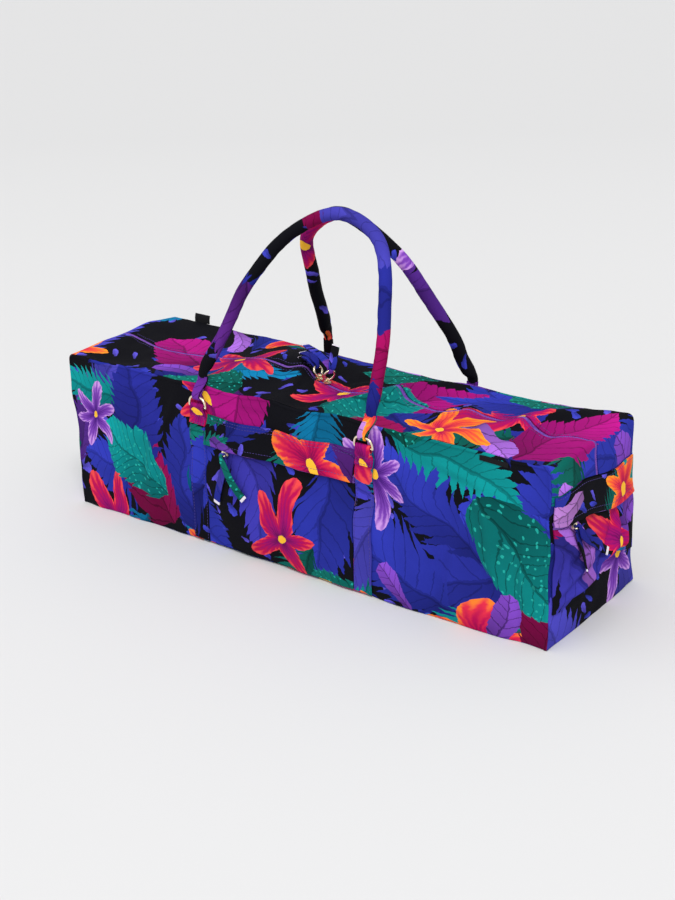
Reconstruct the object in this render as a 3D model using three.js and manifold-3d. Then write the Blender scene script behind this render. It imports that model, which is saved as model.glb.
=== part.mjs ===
// Yoga kit bag: a long soft box of printed canvas with a zip along the top, a front pocket,
// a pocket on the right end and two rolled handles on D rings.
// Millimetres, +Z up, X along the bag, the front wall faces -Y, the base lies on Z = 0.

import * as THREE from 'three';
import { mergeVertices } from 'three/addons/utils/BufferGeometryUtils.js';
import Module from 'manifold-3d';

const wasm = await Module();
wasm.setup();

// Driving dimensions
const LENGTH = 750;
const DEPTH = 200;
const HEIGHT = 220;
const CLOTH = 1.8; // canvas wall with its seam allowance
const SEAM = 0.25; // each panel stops this far short of the seam line
const GAP = 0.4; // air between layers that lie on each other
const CORNER = 9; // radius where the top turns down over the ends

const HALF_LENGTH = LENGTH / 2;
const HALF_DEPTH = DEPTH / 2;
const MID_HEIGHT = HEIGHT / 2;

// Soft walls: how far each one stands out at its middle, and the slack of the top
const FRONT_BULGE = 7;
const BACK_BULGE = 8;
const END_BULGE = { left: 9, right: 6 };
const TOP_SAG = 5;
const TOP_FADE = 2.2; // power of the fall from the zip to the top seams

// The back top seam droops and leans in towards its right half
const BACK_DROOP = { x: 190, reach: 260, sag: 10, lean: 8, fade: 10 };
const RIGHT_LEAN = 9; // the back right corner leans in by this much at the top

// Shallow dents in the front wall
const FRONT_DENTS = [
  { x: -335, z: 75, depth: 2.5, wide: 22, tall: 60 },
  { x: -262, z: 120, depth: 3, wide: 42, tall: 70 },
  { x: 212, z: 60, depth: 3, wide: 38, tall: 55 },
  { x: 318, z: 150, depth: 2, wide: 24, tall: 60 },
];

// Cross folds of the slack top: rise at the zip, reach along the bag, slant away from the zip,
// and how far the zip drifts sideways there
const TOP_FOLDS = [
  { x: -290, rise: -3, reach: 40, slant: 0.2, drift: -3 },
  { x: -105, rise: 15, reach: 58, slant: 0.15, drift: 2 },
  { x: -46, rise: 8, reach: 17, slant: -0.5, drift: 8 },
  { x: 25, rise: -4, reach: 30, slant: 0.2, drift: -5 },
  { x: 97, rise: 14, reach: 17, slant: 0.45, drift: 5 },
  { x: 165, rise: -3, reach: 26, slant: 0, drift: -4 },
  { x: 208, rise: 5, reach: 16, slant: -0.3, drift: 0 },
  { x: 277, rise: 12, reach: 17, slant: 0.4, drift: 4 },
  { x: 322, rise: -4, reach: 17, slant: 0, drift: -3 },
];

// Zips
const ZIP_WIDE = 8;
const ZIP_THICK = 1.8;
const ZIP_GAP = 0.35;

// Seam on each end where the top panels stop, with its fall from front to back
const END_SEAM = { left: { z: 178, fall: 0 }, right: { z: 178, fall: 0.08 } };

// Straps, rings and handles
const STRAP_WIDE = 26;
const STRAP_FOLD_WIDE = 21; // gathered inside the ring
const STRAP_FOOT = 3;
const STRAP_NECK = 8; // below the bar, where the strap starts to gather
const STRAP_LAID = 15; // below the bar, where the folded end lies flat again
const STRAP_TURN_DOWN = 24;
const RING_WIRE = 1.6; // radius of the D ring's wire
const RING_HALF = 13;
const RING_RISE = 15;
const TAB_WIDE = 15;
const TAB_FOLD_WIDE = 10;
const TAB_STEPS = [0.04, 0.3, 0.6, 0.84, 0.93]; // shares of the way from ring to handle
const HANDLE_RADIUS = 8.5;
const HANDLE_HEEL = 7; // upright stretch above each foot

// Where the straps run: wall side, place at the ring, drift of the foot, height of the ring's bar
const STRAPS = [
  { name: 'front_left', side: -1, x: -131, footDrift: -10, bar: 193 },
  { name: 'front_right', side: -1, x: 132, footDrift: -6, bar: 193 },
  { name: 'back_left', side: 1, x: -86, footDrift: -4, bar: 199 },
  { name: 'back_right', side: 1, x: 142, footDrift: 4, bar: 173 },
];

// Centre lines of the two handles, from the left foot over the top to the right foot
const HANDLES = {
  front: [
    { x: -125, y: -101, z: 230 },
    { x: -109, y: -76, z: 281 },
    { x: -86, y: -47, z: 346 },
    { x: -39, y: -22, z: 406 },
    { x: 34, y: -9.4, z: 438 },
    { x: 96, y: -19, z: 414 },
    { x: 125, y: -50, z: 340 },
    { x: 135, y: -77, z: 281 },
    { x: 139, y: -101, z: 230 },
  ],
  back: [
    { x: -79, y: 101, z: 234 },
    { x: -70, y: 77, z: 281 },
    { x: -63, y: 54, z: 330 },
    { x: -48, y: 28, z: 396 },
    { x: 22, y: 9.4, z: 433 },
    { x: 85, y: 28, z: 390 },
    { x: 116, y: 52, z: 334 },
    { x: 140, y: 80, z: 270 },
    { x: 147, y: 105, z: 208 },
  ],
};

// Front pocket, between the two front straps
const FRONT_POCKET = { bottom: 3, top: 141.5, flapBottom: 144.5, flapTop: 185, puff: 9, low: 0.42 };
const POCKET_CLEAR = 1; // between the pocket and the straps
const FLAP_STAND = 4; // the flap's loose edge stands this far off the wall

// End pocket on the right end; its top falls from front to back and its foot arches up behind the middle
const END_POCKET = { edge: 4, top: 132, fall: 0.15, low: 42, puff: 18, lowest: 0.26 };
const END_BELLY = { front: 4, back: 2, taper: 2 }; // powers of its fall from the middle to the two sides
const END_ARCH = { rise: 27, y: 22, reach: 48 };
const END_BAND_LOW = 4; // from the pocket's top to the loose edge of the band
const END_BAND_TOP = 1; // below the seam of the top panels
const BAND_STAND = 4;
const END_FOLDS = [
  { y: -72, z: 92, depth: 6, reach: 10, lean: 0.15 },
  { y: -4, z: 96, depth: 6, reach: 12, lean: 0.7 },
  { y: 42, z: 98, depth: 4, reach: 11, lean: 0.6 },
];

// Zip sliders: a body on the zip with a wire bow over it
const SLIDER = { long: 10, wide: 8.5, high: 3, wire: 0.8, clear: 1.1, drop: 0.8 };
const RING_BOW = { half: 3, rise: 4.5 };
const STRIP_BOW = { half: 4.2, rise: 4.6 };
const PULL_RING = { radius: 7.2, wire: 1.1 };

// Cloth pulls: a folded strip with two legs, and where the legs end. On the top zip each hangs in a ring
// that leans along the zip, tilted up from it and swung round
const PULL = { wide: 10.5, foldWide: 4.6, slack: 0.7, thick: 2, leave: 16, lie: 4.4 };
const TOP_PULLS = [
  {
    name: 'left',
    x: -20,
    lean: -1,
    tilt: 0.88,
    swing: 0,
    ends: [{ x: -63, y: 20, up: 0, turn: 1 }, { x: -69, y: 31, up: 0, turn: 1 }],
  },
  {
    name: 'right',
    x: -4,
    lean: 1,
    tilt: 1.35,
    swing: 0.42,
    ends: [{ x: -83, y: 54, up: 2, turn: 1 }, { x: -12, y: 29, up: 36, turn: 1.6 }],
  },
];
const FRONT_PULL = { x: -86, ends: [{ x: -48, z: 88 }, { x: -95, z: 73 }] };
const END_PULL = { y: -64, ends: [{ y: 0, z: 88 }, { y: -38, z: 78 }] };

// Sewn-in labels
const FRONT_LABEL = { x: 306, wide: 37, top: 217.5, bottom: 210, thick: 1.2 };
const BACK_LABEL = { x: -309, inset: 1, wide: 28, tall: 11.5, thick: 1.4, lean: 3 };

// Canvas and metal as the photo shows them
const LOOKS = {
  canvas: { color: '#2d3490', roughness: 0.85, metalness: 0 },
  handle: { color: '#3a3fb5', roughness: 0.8, metalness: 0 },
  zip: { color: '#5b2a86', roughness: 0.6, metalness: 0 },
  metal: { color: '#d9c9a8', roughness: 0.25, metalness: 1 },
  label: { color: '#17171a', roughness: 0.7, metalness: 0 },
};

// Small maths of soft forms
const bell = (distance, reach) => Math.exp(-((distance / reach) ** 2));
const plump = (share, power) => 1 - Math.abs(share) ** power;
const mix = (a, b, t) => a + (b - a) * t;
const clamp01 = (value) => Math.min(1, Math.max(0, value));
const steps = (count, from = 0, to = 1) =>
  Array.from({ length: count + 1 }, (_, i) => mix(from, to, i / count));

// Fade to nothing at the two ends of the bag
const alongFade = (x) => plump(clamp01(Math.abs(x) / HALF_LENGTH), 6);
function backDroop(x) {
  const fade = plump(clamp01(Math.abs(x) / HALF_LENGTH), BACK_DROOP.fade);
  return bell(x - BACK_DROOP.x, BACK_DROOP.reach) * fade;
}
const rightLean = (x, z) => (RIGHT_LEAN * clamp01(x / (HALF_LENGTH - CORNER)) ** 3 * z) / HEIGHT;

// Sideways place of the seam between the top and the back wall
const backSeam = (x, z) => HALF_DEPTH - BACK_DROOP.lean * backDroop(x) - rightLean(x, z);

// Distance that the front wall stands in front of Y = -DEPTH / 2
function frontOut(x, z) {
  const swell = FRONT_BULGE * alongFade(x) * plump(z / MID_HEIGHT - 1, 4);
  const dents = FRONT_DENTS.reduce(
    (sum, d) => sum + d.depth * bell(x - d.x, d.wide) * bell(z - d.z, d.tall),
    0,
  );
  return swell - dents * plump(z / MID_HEIGHT - 1, 4) * alongFade(x);
}

// Distance that the back wall stands behind Y = DEPTH / 2
function backOut(x, z) {
  const swell = BACK_BULGE * alongFade(x) * plump(clamp01(z / HEIGHT) * 2 - 1, 4);
  return swell - BACK_DROOP.lean * backDroop(x) * (z / HEIGHT) ** 2 - rightLean(x, z);
}

// Sideways place on an end wall; the back half of the right one leans in towards the top
function endY(end, half, u, z) {
  const lean = end === 'right' ? rightLean(HALF_LENGTH, z) : 0;
  return half * u - lean * Math.max(0, u) ** 2;
}

// Distance that an end wall stands beyond X = LENGTH / 2
function endOut(end, y, z) {
  return END_BULGE[end] * plump(y / HALF_DEPTH, 4) * plump(z / MID_HEIGHT - 1, 4);
}

// Rise of the top above the seam plane: slack, cross folds and the drooping back seam
function topRise(x, y) {
  const folds = TOP_FOLDS.reduce((sum, f) => sum + f.rise * bell(x - f.x - f.slant * y, f.reach), 0);
  const share = y / (y > 0 ? backSeam(x, HEIGHT) : HALF_DEPTH);
  const across = plump(clamp01(Math.abs(share)), TOP_FADE);
  const back = Math.max(0, share) ** 2;
  return (folds - TOP_SAG) * across - BACK_DROOP.sag * backDroop(x) * back;
}

// Sideways place of the zip
const zipDrift = (x) => TOP_FOLDS.reduce((sum, f) => sum + f.drift * bell(x - f.x, f.reach), 0);

// Height of the seam where the top panels stop on an end wall
const endSeam = (end, y) => END_SEAM[end].z - END_SEAM[end].fall * y;

// Upper edge of the front and back walls: straight, with round corners
function wallTop(x, inset) {
  const past = Math.max(0, Math.abs(x) - (HALF_LENGTH - CORNER));
  return HEIGHT - CORNER + Math.sqrt(Math.max(0, (CORNER - inset) ** 2 - past ** 2));
}

const point = (x, y, z) => new THREE.Vector3(x, y, z);

// Closed geometry from corners and triangles, turned so that its faces point out
function closedGeometry(corners, triangles) {
  const volume = triangles.reduce((sum, [a, b, c]) => {
    return sum + corners[a].dot(new THREE.Vector3().crossVectors(corners[b], corners[c]));
  }, 0);
  const faces = volume > 0 ? triangles : triangles.map(([a, b, c]) => [a, c, b]);
  const geometry = new THREE.BufferGeometry();
  geometry.setAttribute('position', new THREE.Float32BufferAttribute(corners.flatMap((p) => p.toArray()), 3));
  geometry.setIndex(faces.flat());
  return geometry;
}

// Wall between an outer and an inner surface, both functions of the same two parameters
function wall(surface, us, vs) {
  const corners = [];
  const triangles = [];
  const columns = us.length;
  const rows = vs.length;
  for (const inner of [false, true]) {
    for (const u of us) {
      for (const v of vs) corners.push(surface(u, v, inner));
    }
  }
  const at = (i, j, inner) => (inner ? columns * rows : 0) + i * rows + j;
  const quad = (a, b, c, d) => triangles.push([a, b, c], [a, c, d]);
  for (let i = 0; i + 1 < columns; i += 1) {
    for (let j = 0; j + 1 < rows; j += 1) {
      quad(at(i, j, false), at(i + 1, j, false), at(i + 1, j + 1, false), at(i, j + 1, false));
      quad(at(i, j, true), at(i, j + 1, true), at(i + 1, j + 1, true), at(i + 1, j, true));
    }
    quad(at(i, 0, false), at(i, 0, true), at(i + 1, 0, true), at(i + 1, 0, false));
    const far = rows - 1;
    quad(at(i, far, false), at(i + 1, far, false), at(i + 1, far, true), at(i, far, true));
  }
  for (let j = 0; j + 1 < rows; j += 1) {
    quad(at(0, j, false), at(0, j + 1, false), at(0, j + 1, true), at(0, j, true));
    const end = columns - 1;
    quad(at(end, j, false), at(end, j, true), at(end, j + 1, true), at(end, j + 1, false));
  }
  return closedGeometry(corners, triangles);
}

// Flat band along stations, each with its middle, its width direction, its width and its thickness
function band(stations) {
  const corners = [];
  const triangles = [];
  stations.forEach((station, i) => {
    const before = stations[Math.max(0, i - 1)].at;
    const after = stations[Math.min(stations.length - 1, i + 1)].at;
    const forward = after.clone().sub(before).normalize();
    const side = station.side.clone().addScaledVector(forward, -station.side.dot(forward)).normalize();
    const up = new THREE.Vector3().crossVectors(forward, side);
    for (const [s, t] of [[-1, -1], [1, -1], [1, 1], [-1, 1]]) {
      const corner = station.at.clone().addScaledVector(side, (s * station.wide) / 2);
      corners.push(corner.addScaledVector(up, (t * station.thick) / 2));
    }
  });
  for (let i = 0; i + 1 < stations.length; i += 1) {
    for (let k = 0; k < 4; k += 1) {
      const a = i * 4 + k;
      const b = i * 4 + ((k + 1) % 4);
      triangles.push([a, b, b + 4], [a, b + 4, a + 4]);
    }
  }
  const last = (stations.length - 1) * 4;
  triangles.push([0, 2, 1], [0, 3, 2]);
  triangles.push([last, last + 1, last + 2], [last, last + 2, last + 3]);
  return closedGeometry(corners, triangles);
}

// Join of closed geometries
function joined(...geometries) {
  const solids = geometries.map((source) => {
    const bare = source.clone();
    bare.deleteAttribute('normal');
    bare.deleteAttribute('uv');
    const merged = mergeVertices(bare, 1e-4);
    const index = merged.index.array;
    return new wasm.Manifold(
      new wasm.Mesh({
        numProp: 3,
        vertProperties: new Float32Array(merged.attributes.position.array),
        triVerts: new Uint32Array(index),
      }),
    );
  });
  const whole = solids.reduce((a, b) => a.add(b)).getMesh();
  const geometry = new THREE.BufferGeometry();
  geometry.setAttribute('position', new THREE.Float32BufferAttribute(whole.vertProperties, 3));
  geometry.setIndex(Array.from(whole.triVerts));
  return geometry;
}

const bag = new THREE.Group();

function addPiece(name, geometry, look) {
  const mesh = new THREE.Mesh(geometry, new THREE.MeshStandardMaterial(LOOKS[look]));
  mesh.name = name;
  bag.add(mesh);
  return mesh;
}

// Front and back walls
function frontWall(u, v, inner) {
  const skin = inner ? CLOTH : 0;
  const x = (HALF_LENGTH - SEAM - skin) * u;
  const z = mix(SEAM + skin, wallTop(x, SEAM + skin), v);
  return point(x, -HALF_DEPTH - frontOut(x, z) + skin, z);
}

function backWall(u, v, inner) {
  const skin = inner ? CLOTH : 0;
  const x = (HALF_LENGTH - SEAM - skin) * u;
  const top = wallTop(x, SEAM + skin) - BACK_DROOP.sag * backDroop(x);
  const z = mix(SEAM + skin, top, v);
  return point(x, HALF_DEPTH + backOut(x, z) - skin, z);
}

// Closer columns at the round corners
const cornerColumns = [0, 0.33, 0.57, 0.79, 1].map(
  (share) => 1 - (CORNER / HALF_LENGTH) * (1 - Math.sin((share * Math.PI) / 2)),
);
const wallColumns = [...cornerColumns.map((u) => -u).reverse(), ...steps(16, -0.93, 0.93), ...cornerColumns];
addPiece('front_panel', wall(frontWall, wallColumns, steps(6)), 'canvas');
addPiece('back_panel', wall(backWall, wallColumns, steps(6)), 'canvas');

// Base: flat, so that the bag stands on it
function baseWall(u, v, inner) {
  const skin = inner ? CLOTH : 0;
  return point((HALF_LENGTH - SEAM - skin) * u, (HALF_DEPTH - SEAM - skin) * v, skin);
}
addPiece('base_panel', wall(baseWall, [-1, 1], [-1, 1]), 'canvas');

// End walls, up to the seam of the top panels
function endWall(end) {
  const side = end === 'left' ? -1 : 1;
  return (u, v, inner) => {
    const skin = inner ? CLOTH : 0;
    const half = HALF_DEPTH - SEAM - skin;
    const z = mix(SEAM + skin, endSeam(end, half * u) - SEAM, v);
    const y = endY(end, half, u, z);
    return point(side * (HALF_LENGTH + endOut(end, y, z) - skin), y, z);
  };
}
for (const end of ['left', 'right']) {
  addPiece(`end_panel_${end}`, wall(endWall(end), steps(10, -1, 1), steps(7)), 'canvas');
}

// Stations along the top from the left end seam, up, over and down to the right end seam
const dropSteps = [0, 0.5];
const turnSteps = [0, 0.33, 0.67];
const flatSteps = steps(50, -(HALF_LENGTH - CORNER), HALF_LENGTH - CORNER);
const leftRun = [
  ...dropSteps.map((rise) => ({ end: 'left', side: -1, rise })),
  ...turnSteps.map((turn) => ({ end: 'left', side: -1, turn })),
];
const rightRun = leftRun.map((station) => ({ ...station, end: 'right', side: 1 })).reverse();
const topRun = [...leftRun, ...flatSteps.map((x) => ({ x })), ...rightRun];

const stationX = (station) => station.x ?? station.side * (HALF_LENGTH - CORNER);

// Place on the top at a station and a sideways distance, sunk below the outer skin
function topPlace(station, y, sunk) {
  if (station.x !== undefined) return point(station.x, y, HEIGHT + topRise(station.x, y) - sunk);
  const { end, side } = station;
  if (station.rise !== undefined) {
    const z = mix(endSeam(end, y) + SEAM, HEIGHT - CORNER, station.rise);
    return point(side * (HALF_LENGTH + endOut(end, y, z) - sunk), y, z);
  }
  const angle = (station.turn * Math.PI) / 2;
  const outward = endOut(end, y, HEIGHT - CORNER) * Math.cos(angle) ** 2;
  const upward = topRise(stationX(station), y) * Math.sin(angle) ** 2;
  const reach = CORNER - sunk + outward + upward;
  const x = side * (HALF_LENGTH - CORNER + Math.cos(angle) * reach);
  return point(x, y, HEIGHT - CORNER + Math.sin(angle) * reach);
}

// Half of the top, from its seam with the wall to the zip
function topWall(side) {
  return (station, v, inner) => {
    const skin = inner ? CLOTH : 0;
    const x = stationX(station);
    const seamZ = station.rise === undefined ? HEIGHT : mix(END_SEAM.right.z, HEIGHT - CORNER, station.rise);
    const seam = side > 0 ? backSeam(x, seamZ) : HALF_DEPTH;
    const seamY = side * (seam - SEAM - skin);
    const zipY = zipDrift(x) + side * (ZIP_WIDE / 2 + ZIP_GAP);
    return topPlace(station, mix(seamY, zipY, v), skin);
  };
}
addPiece('top_panel_front', wall(topWall(-1), topRun, steps(4)), 'canvas');
addPiece('top_panel_back', wall(topWall(1), topRun, steps(4)), 'canvas');

// Long zip in the slot between the two halves
function topZip(station, v, inner) {
  const y = zipDrift(stationX(station)) + mix(-ZIP_WIDE / 2, ZIP_WIDE / 2, v);
  return topPlace(station, y, inner ? ZIP_THICK : 0);
}
addPiece('top_zip', wall(topZip, topRun, [0, 1]), 'zip');

// Straps run up the walls and fold round the bar of their ring
const wallOut = (side, x, z) => (side < 0 ? frontOut(x, z) : backOut(x, z));
const strapX = (strap, z) => strap.x + strap.footDrift * (1 - z / strap.bar);
const besideWall = (side, x, z, out) => point(x, side * (HALF_DEPTH + wallOut(side, x, z) + out), z);
const strapOut = GAP + CLOTH / 2;
const strapTurn = RING_WIRE + GAP + CLOTH / 2;
const barOut = strapOut + strapTurn;

function strapStations(strap) {
  const across = point(1, 0, 0);
  const place = (z, out, wide) => ({
    at: besideWall(strap.side, strapX(strap, Math.min(z, strap.bar)), Math.min(z, strap.bar), out),
    side: across,
    wide,
    thick: CLOTH,
  });
  const climb = steps(14, STRAP_FOOT, strap.bar - STRAP_NECK).map((z) => place(z, strapOut, STRAP_WIDE));
  const turn = steps(6, 0, Math.PI).map((angle) => {
    const station = place(strap.bar, barOut - strapTurn * Math.cos(angle), STRAP_FOLD_WIDE);
    station.at.z += strapTurn * Math.sin(angle);
    return station;
  });
  const laid = strapOut + CLOTH + GAP;
  const down = [
    place(strap.bar - STRAP_NECK, mix(barOut + strapTurn, laid, 0.6), STRAP_WIDE),
    place(strap.bar - STRAP_LAID, laid, STRAP_WIDE),
    place(strap.bar - STRAP_TURN_DOWN, laid, STRAP_WIDE),
  ];
  return [...climb, ...turn, ...down];
}

// D ring: a flat bar below and a round bow above
class RingLine extends THREE.Curve {
  constructor(centre) {
    super();
    this.centre = centre;
  }

  getPoint(t, target = new THREE.Vector3()) {
    const angle = t * Math.PI * 2;
    const cos = Math.cos(angle);
    const sin = Math.sin(angle);
    const x = RING_HALF * Math.sign(cos) * Math.abs(cos) ** 0.6;
    const z = sin > 0 ? RING_RISE * sin ** 0.8 : 0;
    return target.set(this.centre.x + x, this.centre.y, this.centre.z + z);
  }
}

// Cloth loop from the foot of a handle round the bow of the ring
function tabStations(strap, foot) {
  const turn = RING_WIRE + GAP + CLOTH / 2;
  const bow = besideWall(strap.side, strap.x, strap.bar, barOut);
  bow.z += RING_RISE;
  const layer = (CLOTH + GAP) / 2;
  const across = point(1, 0, 0);
  const leg = (face) =>
    TAB_STEPS.map((t) => {
      const ease = t * t * (3 - 2 * t);
      const at = point(mix(bow.x, foot.x, ease), mix(bow.y, foot.y, ease), mix(bow.z, foot.z, t));
      at.y += mix(turn, layer, ease) * face * strap.side;
      return { at, side: across, wide: mix(TAB_FOLD_WIDE, TAB_WIDE, t), thick: CLOTH };
    });
  const round = steps(6, 0, Math.PI).map((angle) => ({
    at: point(bow.x, bow.y + strap.side * turn * Math.cos(angle), bow.z - turn * Math.sin(angle)),
    side: across,
    wide: TAB_FOLD_WIDE,
    thick: CLOTH,
  }));
  return [...leg(1).reverse(), ...round, ...leg(-1)];
}

// Rolled handle: a round tube along its centre line, upright at both feet
function handleGeometry(rows) {
  const way = rows.map(({ x, y, z }) => point(x, y, z));
  const heel = (foot) => foot.clone().setZ(foot.z + HANDLE_HEEL);
  way.splice(1, 0, heel(way[0]));
  way.splice(-1, 0, heel(way[way.length - 1]));
  const line = new THREE.CatmullRomCurve3(way, false, 'centripetal');
  const section = new THREE.Shape();
  section.absarc(0, 0, HANDLE_RADIUS, 0, Math.PI * 2);
  return new THREE.ExtrudeGeometry(section, { steps: 32, curveSegments: 5, extrudePath: line });
}

for (const strap of STRAPS) {
  const [wallName, end] = strap.name.split('_');
  const rows = HANDLES[wallName];
  const { x, y, z } = end === 'left' ? rows[0] : rows[rows.length - 1];
  const ring = new RingLine(besideWall(strap.side, strap.x, strap.bar, barOut));
  addPiece(`strap_${strap.name}`, band(strapStations(strap)), 'canvas');
  addPiece(`ring_${strap.name}`, new THREE.TubeGeometry(ring, 18, RING_WIRE, 6, true), 'metal');
  addPiece(`handle_tab_${strap.name}`, band(tabStations(strap, point(x, y, z - GAP))), 'handle');
}
for (const wallName of ['front', 'back']) {
  addPiece(`handle_${wallName}`, handleGeometry(HANDLES[wallName]), 'handle');
}

// Front pocket between the front straps
const [leftStrap, rightStrap] = STRAPS;
const besideStrap = STRAP_WIDE / 2 + POCKET_CLEAR;
const pocketX = (u, z) =>
  mix(strapX(leftStrap, z) + besideStrap, strapX(rightStrap, z) - besideStrap, u);

// Outer face of the front pocket, measured from the front wall
function frontPocketOut(x, z) {
  const u = (x - pocketX(0, z)) / (pocketX(1, z) - pocketX(0, z));
  const v = (z - FRONT_POCKET.bottom) / (FRONT_POCKET.top - FRONT_POCKET.bottom);
  const upright = v < FRONT_POCKET.low ? v / FRONT_POCKET.low : (1 - v) / (1 - FRONT_POCKET.low);
  const belly = plump(2 * u - 1, 4) * Math.sin((clamp01(upright) * Math.PI) / 2) ** 1.2;
  return GAP + CLOTH + FRONT_POCKET.puff * belly;
}

function frontPocket(u, v, inner) {
  const z = mix(FRONT_POCKET.bottom, FRONT_POCKET.top, v);
  const x = pocketX(u, z);
  return besideWall(-1, x, z, frontPocketOut(x, z) - (inner ? CLOTH : 0));
}
addPiece('front_pocket_panel', wall(frontPocket, steps(14), steps(8)), 'canvas');

function frontFlap(u, v, inner) {
  const z = mix(FRONT_POCKET.flapBottom, FRONT_POCKET.flapTop, v);
  const out = GAP + (inner ? 0 : CLOTH) + FLAP_STAND * (1 - v) ** 1.2;
  return besideWall(-1, pocketX(u, z), z, out);
}
addPiece('front_pocket_flap', wall(frontFlap, steps(14), steps(3)), 'canvas');

function frontZip(u, v, inner) {
  const z = FRONT_POCKET.top + GAP + v * ZIP_WIDE;
  return besideWall(-1, pocketX(u, z), z, GAP + (inner ? 0 : ZIP_THICK));
}
addPiece('front_pocket_zip', wall(frontZip, steps(14), [0, 1]), 'zip');

// End pocket on the right end
const beyondEnd = (y, z, out) => point(HALF_LENGTH + endOut('right', y, z) + out, y, z);
const endPocketHalf = HALF_DEPTH - END_POCKET.edge;
const endPocketLow = (y) => END_POCKET.low + END_ARCH.rise * bell(y - END_ARCH.y, END_ARCH.reach);
const endPocketTop = (y) => END_POCKET.top - END_POCKET.fall * y;
const endBandLow = (y) => endPocketTop(y) + END_BAND_LOW;

// Outer face of the end pocket, measured from the end wall: a slack belly with slanting creases
function endPocketOut(y, z) {
  const v = (z - endPocketLow(y)) / (endPocketTop(y) - endPocketLow(y));
  const upright = v < END_POCKET.lowest ? v / END_POCKET.lowest : (1 - v) / (1 - END_POCKET.lowest);
  const share = y / endPocketHalf;
  const width = y > 0 ? plump(share, END_BELLY.back) ** END_BELLY.taper : plump(share, END_BELLY.front);
  const belly = width * Math.sin((clamp01(upright) * Math.PI) / 2) ** 1.3;
  const creases = END_FOLDS.reduce(
    (sum, f) => sum + f.depth * bell(y - f.y - f.lean * (z - f.z), f.reach),
    0,
  );
  return GAP + CLOTH + Math.max(0, END_POCKET.puff - creases) * belly;
}

function endPocket(u, v, inner) {
  const flatY = endPocketHalf * u;
  const z = mix(endPocketLow(flatY), endPocketTop(flatY), v);
  const y = endY('right', endPocketHalf, u, z);
  return beyondEnd(y, z, endPocketOut(flatY, z) - (inner ? CLOTH : 0));
}
addPiece('end_pocket_panel', wall(endPocket, steps(14, -1, 1), steps(8)), 'canvas');

function endBand(u, v, inner) {
  const flatY = endPocketHalf * u;
  const z = mix(endBandLow(flatY), endSeam('right', flatY) - END_BAND_TOP, v);
  const y = endY('right', endPocketHalf, u, z);
  const out = GAP + (inner ? 0 : CLOTH) + BAND_STAND * plump(u, 4) * (1 - v) ** 1.2;
  return beyondEnd(y, z, out + (ZIP_THICK + GAP) * (1 - v));
}
addPiece('end_pocket_band', wall(endBand, steps(10, -1, 1), steps(3)), 'canvas');

function endZip(u, v, inner) {
  const flatY = endPocketHalf * u;
  const z = endPocketTop(flatY) + GAP + v * ZIP_WIDE;
  const y = endY('right', endPocketHalf, u, z);
  return beyondEnd(y, z, GAP + (inner ? 0 : ZIP_THICK));
}
addPiece('end_pocket_zip', wall(endZip, steps(10, -1, 1), [0, 1]), 'zip');

// Wire bow over a slider: an upright arch with a nearly flat top
class BowLine extends THREE.Curve {
  constructor({ half, rise }) {
    super();
    this.half = half;
    this.rise = rise;
  }

  getPoint(t, target = new THREE.Vector3()) {
    const angle = Math.PI * (1 - t);
    const cos = Math.cos(angle);
    const x = this.half * Math.sign(cos) * Math.sqrt(Math.abs(cos));
    const z = SLIDER.high - SLIDER.wire + this.rise * Math.sqrt(Math.max(0, Math.sin(angle)));
    return target.set(x, 0, z);
  }
}

// Slider in its own frame: X along the zip, Z away from the cloth
function sliderGeometry(bow) {
  const { long, wide, high, wire } = SLIDER;
  const outline = new THREE.Shape();
  outline.moveTo(-long / 2, -wide / 3);
  outline.lineTo(-long / 4, -wide / 2);
  outline.lineTo(long / 2, -wide / 2.6);
  outline.lineTo(long / 2, wide / 2.6);
  outline.lineTo(-long / 4, wide / 2);
  outline.lineTo(-long / 2, wide / 3);
  outline.closePath();
  const body = new THREE.ExtrudeGeometry(outline, { depth: high, bevelEnabled: false });
  const section = new THREE.Shape();
  section.absarc(0, 0, wire, 0, Math.PI * 2);
  const extrudePath = new BowLine(bow);
  const arch = new THREE.ExtrudeGeometry(section, { steps: 8, curveSegments: 3, extrudePath });
  return joined(body, arch);
}

// Puts a mesh at a place with its X along the zip and its Z away from the cloth
function setOn(mesh, place, along, out) {
  const across = new THREE.Vector3().crossVectors(out, along);
  mesh.quaternion.setFromRotationMatrix(new THREE.Matrix4().makeBasis(along, across, out));
  mesh.position.copy(place);
}

// Folded strip round a wire at a place: the wire's direction, the way the legs leave, their ends
function pullStations(place, wire, leave, wireRadius, ends) {
  const turn = wireRadius + PULL.slack + PULL.thick / 2;
  const normal = new THREE.Vector3().crossVectors(leave, wire);
  const station = (at, side, wide) => ({ at, side, wide, thick: PULL.thick });
  const leg = (face, { at: end, side }) => {
    const start = place.clone().addScaledVector(normal, face * turn);
    const bend = start.clone().addScaledVector(leave, PULL.leave);
    const line = new THREE.QuadraticBezierCurve3(start, bend, end);
    return steps(6, 0.08, 1).map((t) => {
      const wide = mix(PULL.foldWide, PULL.wide, clamp01(t * 4));
      return station(line.getPoint(t), wire.clone().lerp(side, t), wide);
    });
  };
  const fold = steps(5, 0, Math.PI).map((angle) => {
    const at = place.clone().addScaledVector(normal, turn * Math.cos(angle));
    return station(at.addScaledVector(leave, -turn * Math.sin(angle)), wire, PULL.foldWide);
  });
  return [...leg(1, ends[0]).reverse(), ...fold, ...leg(-1, ends[1])];
}

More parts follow.
